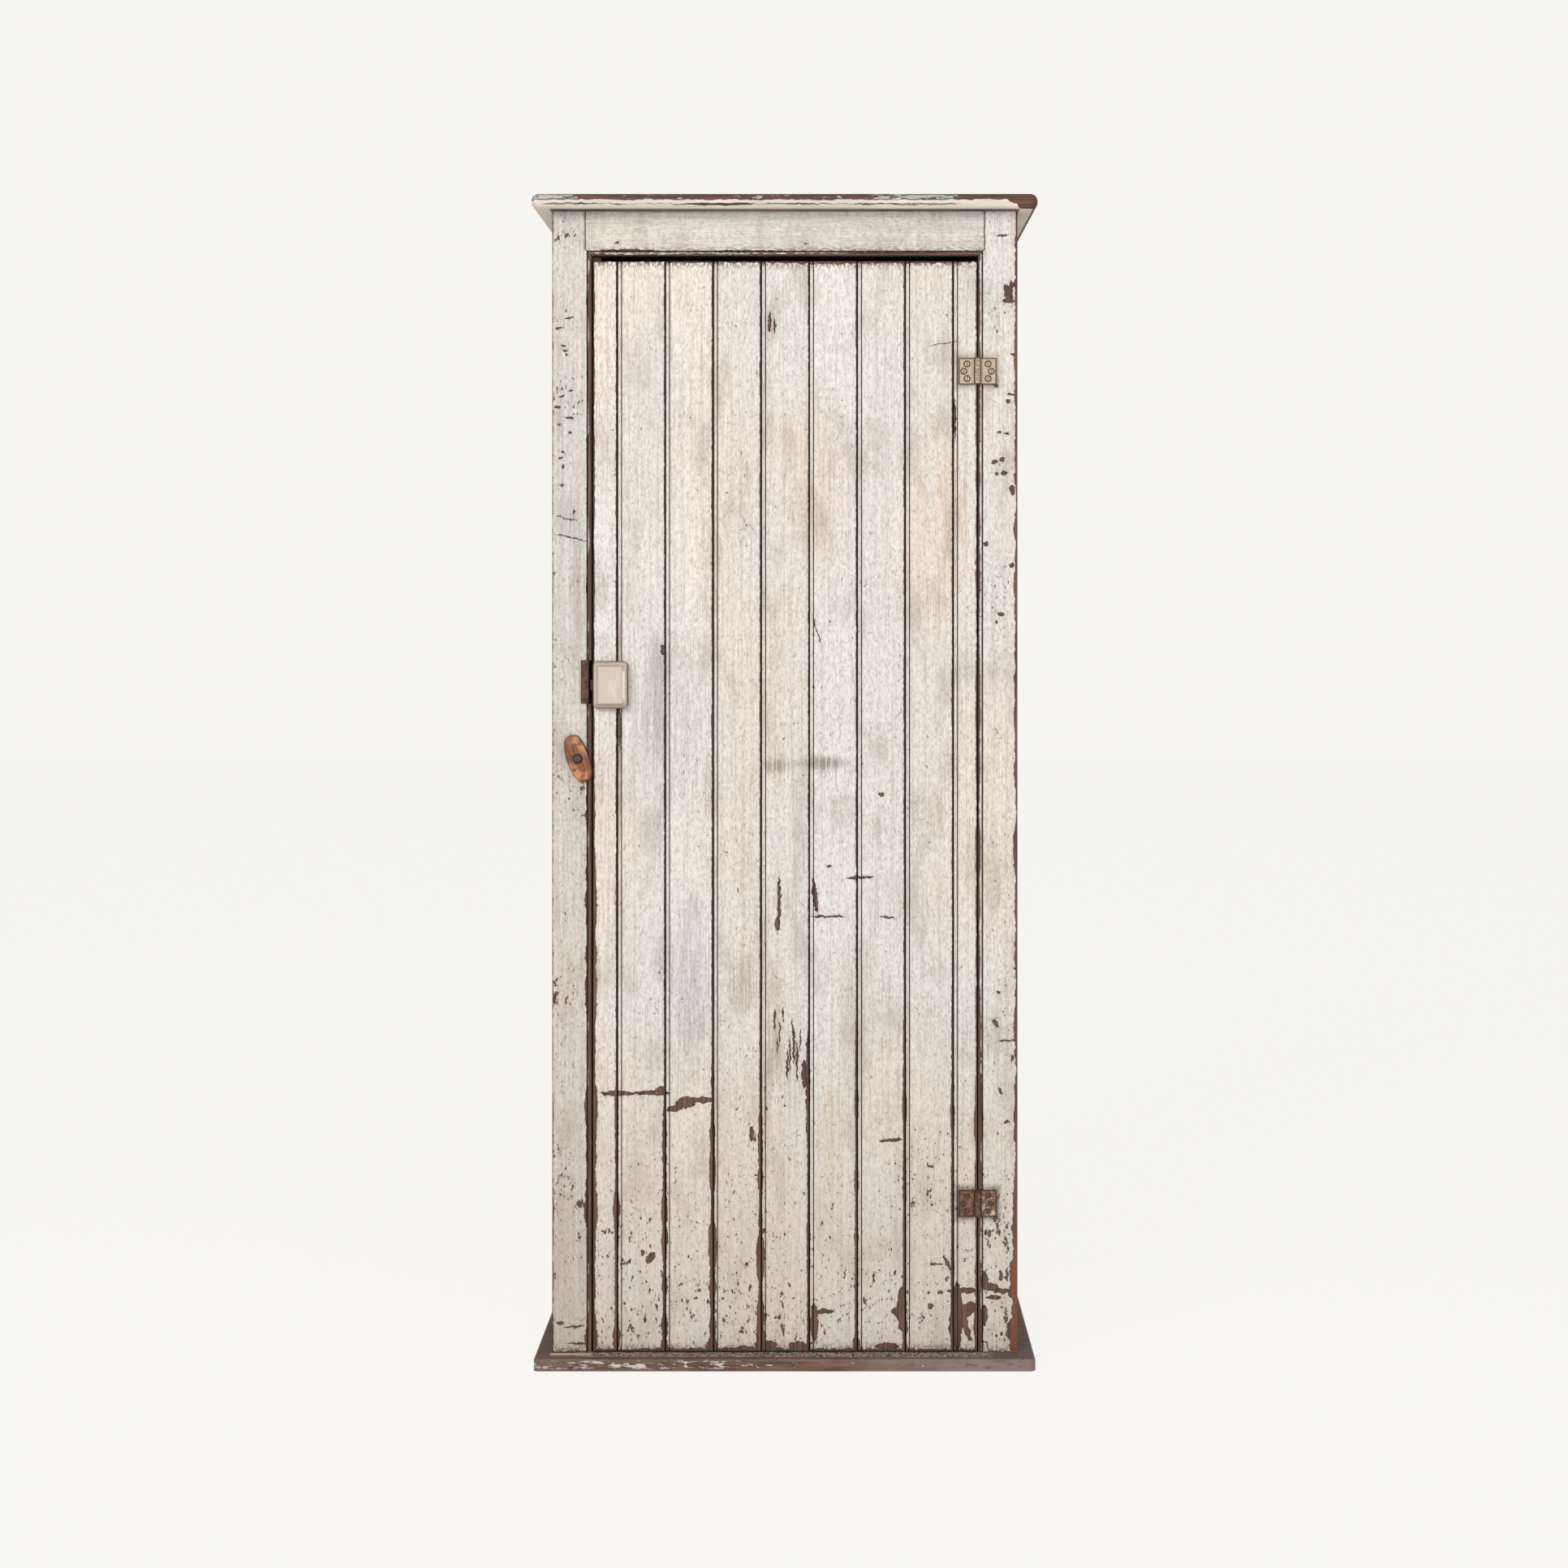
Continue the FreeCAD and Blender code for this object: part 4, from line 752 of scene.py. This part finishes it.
ironFinishes = {
    "hinge": ironFinish("hingeIron", dict(iron, covered=hingePaint, lines=hingeLines)),
    "keeper": ironFinish("keeperIron", dict(
        iron, rust=tone(116, 73, 61), dark=tone(66, 43, 37), lines=keeperLines)),
    "latch": ironFinish("latchPaint", dict(
        iron, covered=lambda finish: finish.z * 0 + 2, lines=latchLines, glints=latchGlints,
        paint=tone(212, 197, 181), paintDeep=tone(190, 170, 150), edge=tone(104, 74, 54))),
    "bolt": ironFinish("boltIron", dict(
        iron, rust=tone(58, 48, 42), dark=tone(36, 30, 27), deep=tone(44, 34, 28))),
}


screwLook = {
    "steelDark": tone(66, 44, 34), "steelPale": tone(118, 82, 60), "paint": tone(212, 197, 178),
    "paintDeep": tone(160, 138, 116), "keeperHoleShade": tone(24, 17, 15), "slot": tone(50, 33, 26),
    # where a finish starts and is full
    "paintedHeight": (1200, 1300), "keeperAcross": (-300, -306), "keeperHeight": (1000, 1020),
    "hingeAcross": (250, 260), "slotSunk": (0.25, 0.6),
}


def screwFinish(name):
    # screws of the upper hinge are painted over, the others are dark; a slot always gets painted shade
    finish, look = Finish(name), screwLook
    ramp, blend = finish.ramp, finish.blend
    fine = finish.noise(1.4, 3, 0.6)
    steel = blend(ramp(fine, 0.4, 0.65), look["steelDark"], look["steelPale"])
    paint = blend(ramp(fine, 0.4, 0.65), look["paint"], look["paintDeep"])
    colour = blend(ramp(finish.z, *look["paintedHeight"]), steel, paint)
    # the keeper's screws are darkened nearly to black: painted shade of their holes
    keeperHoleShade = ramp(finish.x, *look["keeperAcross"]) * ramp(finish.z, *look["keeperHeight"])
    colour = blend(keeperHoleShade * 0.85, colour, look["keeperHoleShade"])
    # painted shade in the slots, below the head's top
    slotShade = ramp(finish.y, *[hingeTop + depth for depth in look["slotSunk"]])
    colour = blend(slotShade * ramp(finish.x, *look["hingeAcross"]), colour, look["slot"])
    return finish.close(colour, 0.5, fine, 0.4)


buttonBox = boxInMm("turn_button")
button = {
    "centre": (buttonBox[0] + buttonBox[1]) / 2,
    "lean": 19,
    "front": buttonBox[0].y,
    "back": buttonBox[1].y,
    "outline": ((6.5, 38.4), (14, 30), (17.6, 9), (17.6, -9), (14, -30), (6.5, -38.4)),
    "cornerCuts": (7, 3, 1.4),
    "rims": ((0, 1), (0, 0.42), (0.8, 0.2), (2.2, 0.05), (4.4, 0)),  # inset, and share of the way back
    "dark": tone(92, 52, 36), "pale": tone(158, 96, 60), "paleHighlight": tone(214, 154, 100),
    "hub": tone(122, 70, 46), "hubRingDirtShade": tone(74, 42, 30), "rimDirtAndShade": tone(64, 49, 38),
}


def buttonFinish(name):
    finish = Finish(name)
    centre = tuple(button["centre"])
    settings = {"rotation_type": "Y_AXIS"}
    inputs = {"Vector": finish.vector("SUBTRACT", finish.mm, centre), "Angle": math.radians(button["lean"])}
    place = finish.node("VectorRotate", settings, inputs).outputs[0]
    across, deep, up = finish.parts(place)
    grain = finish.noise(1.7, 4, 0.62, (1, 1, 0.13), finish.shaken(3, 12, 2, place))
    cloud = finish.noise(15, 3, 0.55, place=place)
    colour = finish.blend(finish.ramp(grain, 0.36, 0.64), button["dark"], button["pale"])
    # lighter towards both ends: a painted highlight over rubbed wood
    worn = finish.ramp(abs(up + across * 0.9), 9, 26) * finish.ramp(cloud, 0.4, 0.54)
    colour = finish.blend(worn * 0.8, colour, button["paleHighlight"])
    hub = (across * across + up * up).maths("SQRT") + (grain - 0.5) * 2
    # a dark ring round the hub: dirt and painted shade
    colour = finish.over(colour, button["hubRingDirtShade"], abs(hub - 8), 1.6, 0.4, 0.6)
    colour = finish.over(colour, button["hub"], hub, 7.6, 6.6)
    # the rims, darker as they turn back from the front, and the upper end: dirt and painted shade
    edge = finish.ramp(deep + (grain - 0.5) * 1.6, -4.9, -3.6)
    head = finish.ramp(up - across * 0.9, 24, 34)
    colour = finish.blend(edge.most(head * 0.75) * 0.88, colour, button["rimDirtAndShade"])
    return finish.close(colour, 0.38 + grain * 0.3, grain, 0.35)


def rotatedBy(lean, across, up):
    turn = math.radians(lean)
    return across * math.cos(turn) - up * math.sin(turn), across * math.sin(turn) + up * math.cos(turn)


def cutCorners(points, reach):
    # one pass of corner cutting round a closed outline
    rounded = []
    for (x1, z1), (x2, z2) in zip(points, points[1:] + points[:1]):
        share = min(0.3, reach / math.hypot(x2 - x1, z2 - z1))
        for kept in (1 - share, share):
            rounded.append((x1 * kept + x2 * (1 - kept), z1 * kept + z2 * (1 - kept)))
    return rounded


def turnButton():
    # a whittled wooden button with softened rims, leaning as it was left
    points = list(button["outline"]) + [(-across, -up) for across, up in button["outline"]]
    for reach in button["cornerCuts"]:
        points = cutCorners(points, reach)
    mesh = bpy.data.meshes.new("turnButton")
    build = bmesh.new()
    rings = []
    for inset, share in button["rims"]:
        y = button["front"] + (button["back"] - button["front"]) * share
        ring = []
        for across, up in points:
            away = math.hypot(across, up)
            x, z = rotatedBy(button["lean"], across * (1 - inset / away), up * (1 - inset / away))
            place = ((button["centre"].x + x) / 1000, y / 1000, (button["centre"].z + z) / 1000)
            ring.append(build.verts.new(place))
        rings.append(ring)
    for outer, inner in zip(rings, rings[1:]):
        for i in range(len(outer)):
            j = (i + 1) % len(outer)
            build.faces.new((outer[i], outer[j], inner[j], inner[i]))
    build.faces.new(rings[-1])
    build.faces.new(list(reversed(rings[0])))
    bmesh.ops.recalc_face_normals(build, faces=build.faces)
    build.to_mesh(mesh)
    build.free()
    piece = addPiece("turnButton", mesh, buttonWood)
    for face in mesh.polygons:
        face.use_smooth = len(face.vertices) == 4
    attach(piece, "turn_button")
    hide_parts("turn_button")


def addObject(name, data):
    made = bpy.data.objects.new(name, data)
    scene.collection.objects.link(made)
    return made


def addPiece(name, mesh, material):
    mesh.materials.clear()
    mesh.materials.append(material)
    return addObject(name, mesh)


latchLook = {"softened": 2.4, "rounded": 8, "bevelReach": 10, "sharpFrom": 24, "segments": 5}


def latchCover():
    # the cast case with its bevels rounded off under many coats
    mesh = nodes["latch_case"].data.copy()
    mesh.name = "latchCover"
    build = bmesh.new()
    build.from_mesh(mesh)
    bmesh.ops.remove_doubles(build, verts=build.verts, dist=0.00001)
    bmesh.ops.dissolve_limit(build, angle_limit=math.radians(1), verts=build.verts, edges=build.edges)
    weight = build.edges.layers.float.new("bevel_weight_edge")
    low, high = (corner / 1000 for corner in boxInMm("latch_case"))
    reach = latchLook["bevelReach"] / 1000
    for edge in build.edges:
        if len(edge.link_faces) < 2 or edge.calc_face_angle() < math.radians(latchLook["sharpFrom"]):
            continue
        ends = [vert.co for vert in edge.verts]
        outer = all(min(end.x - low.x, high.x - end.x) < reach for end in ends)
        outer = outer and all(min(end.z - low.z, high.z - end.z) < reach for end in ends)
        corner = outer and abs(ends[0].y - ends[1].y) > 0.001
        edge[weight] = 1 if corner else latchLook["softened"] / latchLook["rounded"]
    build.to_mesh(mesh)
    build.free()
    piece = addPiece("latchCover", mesh, ironFinishes["latch"])
    soften = piece.modifiers.new("soften", "BEVEL")
    soften.width = latchLook["rounded"] / 1000
    soften.segments = latchLook["segments"]
    soften.limit_method = "WEIGHT"
    for face in mesh.polygons:
        face.use_smooth = True
    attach(piece, "door")
    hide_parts("latch_case")


# slotted heads, and their places and sizes against a hinge screw's
hingeTop = boxInMm("door_screws")[0].y
headLook = {
    "sizes": {"Radius": 4.1, "Thickness": 1.3, "Slot Width": 1.1, "Slot Depth": 0.7},
    "topShare": 0.86, "sides": 28, "seed": 7,
}
keeperHeads = {
    "across": -310.7, "middle": 1069.1, "apart": 27, "size": 0.72, "top": boxInMm("keeper_plate")[0].y,
}
buttonHead = {"size": 1.36, "tall": 1.9, "top": boxInMm("frame_screws")[0].y}


def headTree():
    tree = bpy.data.node_groups.new("slottedHeads", "GeometryNodeTree")
    tree.is_modifier = True
    tree.interface.new_socket("Heads", in_out="OUTPUT", socket_type="NodeSocketGeometry")
    tree.interface.new_socket("Spots", in_out="INPUT", socket_type="NodeSocketGeometry")
    kinds = dict.fromkeys(headLook["sizes"], "Float")
    for label, kind in dict(kinds, Seed="Int", Finish="Material").items():
        tree.interface.new_socket(label, in_out="INPUT", socket_type="NodeSocket" + kind)

    def add(kind, settings=None, inputs=None):
        return addNode(tree, kind, settings, inputs)

    given = add("NodeGroupInput").outputs

    def times(value, factor):
        return add("ShaderNodeMath", {"operation": "MULTIPLY"}, {0: value, 1: factor}).outputs[0]

    disc = add("GeometryNodeMeshCone", None, {
        "Vertices": headLook["sides"], "Radius Top": times(given["Radius"], headLook["topShare"]),
        "Radius Bottom": given["Radius"], "Depth": given["Thickness"]})
    slotSize = add("ShaderNodeCombineXYZ", None, {
        "X": given["Slot Width"], "Y": times(given["Radius"], 3), "Z": times(given["Slot Depth"], 2)})
    slot = add("GeometryNodeMeshCube", None, {"Size": slotSize.outputs[0]})
    slotPlace = add("ShaderNodeCombineXYZ", None, {"Z": given["Thickness"]})
    raised = add("GeometryNodeTransform", None, {
        "Geometry": slot.outputs["Mesh"], "Translation": slotPlace.outputs[0]})
    head = add("GeometryNodeMeshBoolean", {"operation": "DIFFERENCE"},
               {0: disc.outputs["Mesh"], 1: raised.outputs["Geometry"]})
    spin = add("FunctionNodeRandomValue", {"data_type": "FLOAT"}, {2: 0, 3: math.pi, "Seed": given["Seed"]})
    turn = add("ShaderNodeCombineXYZ", None, {"X": math.pi / 2, "Y": spin.outputs[1]})
    size = add("GeometryNodeInputNamedAttribute", {"data_type": "FLOAT_VECTOR"}, {"Name": "size"})
    placed = add("GeometryNodeInstanceOnPoints", None, {
        "Points": given["Spots"], "Instance": head.outputs["Mesh"], "Rotation": turn.outputs[0],
        "Scale": size.outputs[0]})
    solid = add("GeometryNodeRealizeInstances", None, {"Geometry": placed.outputs[0]})
    finished = add("GeometryNodeSetMaterial", None, {
        "Geometry": solid.outputs[0], "Material": given["Finish"]})
    add("NodeGroupOutput", None, {"Heads": finished.outputs[0]})
    return tree


def slottedHeads(name, body, node, spots):
    # spots: across, top of the plate, height, and the head's size in three directions
    mesh = bpy.data.meshes.new(name)
    thick = headLook["sizes"]["Thickness"]
    feet = [(x / 1000, (y + thick * size[2]) / 1000, z / 1000) for x, y, z, size in spots]
    mesh.from_pydata(feet, [], [])
    sizes = mesh.attributes.new("size", "FLOAT_VECTOR", "POINT")
    for i, spot in enumerate(spots):
        sizes.data[i].vector = spot[3]
    holder = addPiece(name + "Spots", mesh, screwMetal)
    maker = holder.modifiers.new("heads", "NODES")
    maker.node_group = headsTree
    values = {label: size / 1000 for label, size in headLook["sizes"].items()}
    values.update({"Seed": headLook["seed"], "Finish": screwMetal})
    for socket in headsTree.interface.items_tree:
        if socket.name in values:
            maker[socket.identifier] = values[socket.name]
    bpy.context.view_layer.update()
    evaluated = holder.evaluated_get(bpy.context.evaluated_depsgraph_get())
    made = bpy.data.meshes.new_from_object(evaluated)
    bpy.data.objects.remove(holder)
    piece = addPiece(name, made, screwMetal)
    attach(piece, body)
    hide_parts(node)


def hingeSpots(side):
    spots = []
    for height in hinge["heights"]:
        for outward, upward in hinge["spots"]:
            for way in sorted({-upward, upward}):
                spots.append((hinge["axis"] + side * outward, hingeTop, height + way, (1, 1, 1)))
    return spots


buttonWood = buttonFinish("buttonWood")
# each node gets the first finish here whose words its name starts with
finishTable = (
    ("door_board", agedPaint("doorPaint", doorLook)),
    ("left_stile", agedPaint("leftStilePaint", leftLook)),
    ("right_stile", agedPaint("rightStilePaint", rightLook)),
    ("top_rail", agedPaint("railPaint", railLook)),
    (("left_side_board", "right_side_board"), agedPaint("sidePaint", sideLook)),
    ("top_board", topBoardFinish("topBoardPaint")),
    ("base_board", baseBoardFinish("baseBoardWood")),
    (("back_board", "door_stop"), plainWood("oldPineUpright", dict(pine, along=(1, 1, 0.03), jointed=0.9))),
    (("shelf", "door_ledge"), plainWood("oldPineLevel", dict(pine, along=(0.03, 1, 1)))),
    (("left_cleat", "right_cleat"), plainWood("oldPineDeepwise", dict(pine, along=(1, 0.03, 1)))),
    ("turn_button_washer", ironFinishes["bolt"]),
    ("turn_button", buttonWood),
    ("hinge", ironFinishes["hinge"]),
    ("keeper_plate", ironFinishes["keeper"]),
    ("latch_case", ironFinishes["latch"]),
    ("", ironFinishes["bolt"]),
)
for name, node in nodes.items():
    node.data.materials.clear()
    node.data.materials.append(next(finish for start, finish in finishTable if name.startswith(start)))
print("finishes set on", len(nodes), "nodes")

screwMetal = screwFinish("screwMetal")
headsTree = headTree()
slottedHeads("doorHingeHeads", "door", "door_screws", hingeSpots(-1))
keeperSpots = [(keeperHeads["across"], keeperHeads["top"], keeperHeads["middle"] + way * keeperHeads["apart"],
                (keeperHeads["size"],) * 3) for way in (-1, 0, 1)]
buttonSpot = (button["centre"].x, buttonHead["top"], button["centre"].z,
              (buttonHead["size"], buttonHead["size"], buttonHead["tall"]))
slottedHeads("cabinetHeads", "cabinet", "frame_screws", hingeSpots(1) + keeperSpots + [buttonSpot])
turnButton()
latchCover()
print("screw heads, turn button and latch cover made")


# stage, light and camera

stageLook = {
    "pale": tone(246, 245, 241), "size": 14, "glowShare": 0.92, "glow": 1.045,
    "sky": tone(236, 238, 242), "skyLight": 0.42,
}


def seenPlainly(tree):
    # 1 for the camera and for what it sees in metal or glass, 0 for the light on the cupboard
    path = addNode(tree, "ShaderNodeLightPath").outputs
    seen = path["Is Camera Ray"]
    for ray in ("Is Glossy Ray", "Is Transmission Ray"):
        seen = addNode(tree, "ShaderNodeMath", {"operation": "MAXIMUM"}, {0: seen, 1: path[ray]}).outputs[0]
    return seen


def paleFloor():
    finish = Finish("paleFloor")
    matt = finish.node("BsdfDiffuse", None, {"Color": stageLook["pale"]})
    glow = finish.node("Emission", None, {"Color": stageLook["pale"], "Strength": stageLook["glow"]})
    share = Wire(finish, seenPlainly(finish.tree)) * stageLook["glowShare"]
    mixed = finish.node("MixShader", None, {0: share, 1: matt.outputs[0], 2: glow.outputs[0]})
    finish.node("OutputMaterial", None, {"Surface": mixed.outputs[0]})
    size = stageLook["size"]
    mesh = bpy.data.meshes.new("floor")
    corners = [(-size, -size, 0), (size, -size, 0), (size, size, 0), (-size, size, 0)]
    mesh.from_pydata(corners, [], [(0, 1, 2, 3)])
    addPiece("floor", mesh, finish.material)


def paleWorld():
    world = bpy.data.worlds.new("paleWorld")
    world.use_nodes = True
    scene.world = world
    tree = world.node_tree
    tree.nodes.clear()
    sky = {"Color": stageLook["sky"], "Strength": stageLook["skyLight"]}
    lit = addNode(tree, "ShaderNodeBackground", None, sky).outputs[0]
    shown = addNode(tree, "ShaderNodeBackground", None, {"Color": stageLook["pale"]}).outputs[0]
    mixed = addNode(tree, "ShaderNodeMixShader", None, {0: seenPlainly(tree), 1: lit, 2: shown})
    addNode(tree, "ShaderNodeOutputWorld", None, {"Surface": mixed.outputs[0]})


def lamp(name, place, aim, size, power, colour):
    light = bpy.data.lights.new(name, "AREA")
    light.shape = "SQUARE"
    light.size = size
    light.energy = power
    light.color = colour
    holder = addObject(name, light)
    holder.location = place
    holder.rotation_euler = (Vector(aim) - Vector(place)).to_track_quat("-Z", "Y").to_euler()


# the photograph's eye: level, 3.5 m in front of the door and a little to the right
photoView = {"lens": 51.35, "film": 36, "shift": (-0.0254, -0.1144), "eye": (0.061, -3.663, 1.19)}


def photoCamera():
    camera = bpy.data.cameras.new("photoCamera")
    camera.lens = photoView["lens"]
    camera.sensor_width = photoView["film"]
    camera.shift_x, camera.shift_y = photoView["shift"]
    holder = addObject("photoCamera", camera)
    holder.location = photoView["eye"]
    holder.rotation_euler = (math.radians(90), 0, 0)
    scene.camera = holder


paleFloor()
paleWorld()
# name, place and aim in metres, size, power, colour
for setting in (("keyLamp", (-1.9, -3.0, 3.1), (0, 0, 1.0), 1.8, 77, (1, 0.985, 0.96)),
                ("fillLamp", (2.4, -3.2, 1.6), (0, 0, 0.9), 2.4, 36, (0.97, 0.985, 1)),
                ("lowLamp", (0.2, -3.6, 0.5), (0, 0, 0.6), 1.6, 10, (1, 1, 1))):
    lamp(*setting)
photoCamera()
scene.view_settings.view_transform = "Standard"
print("stage, lamps and camera set")
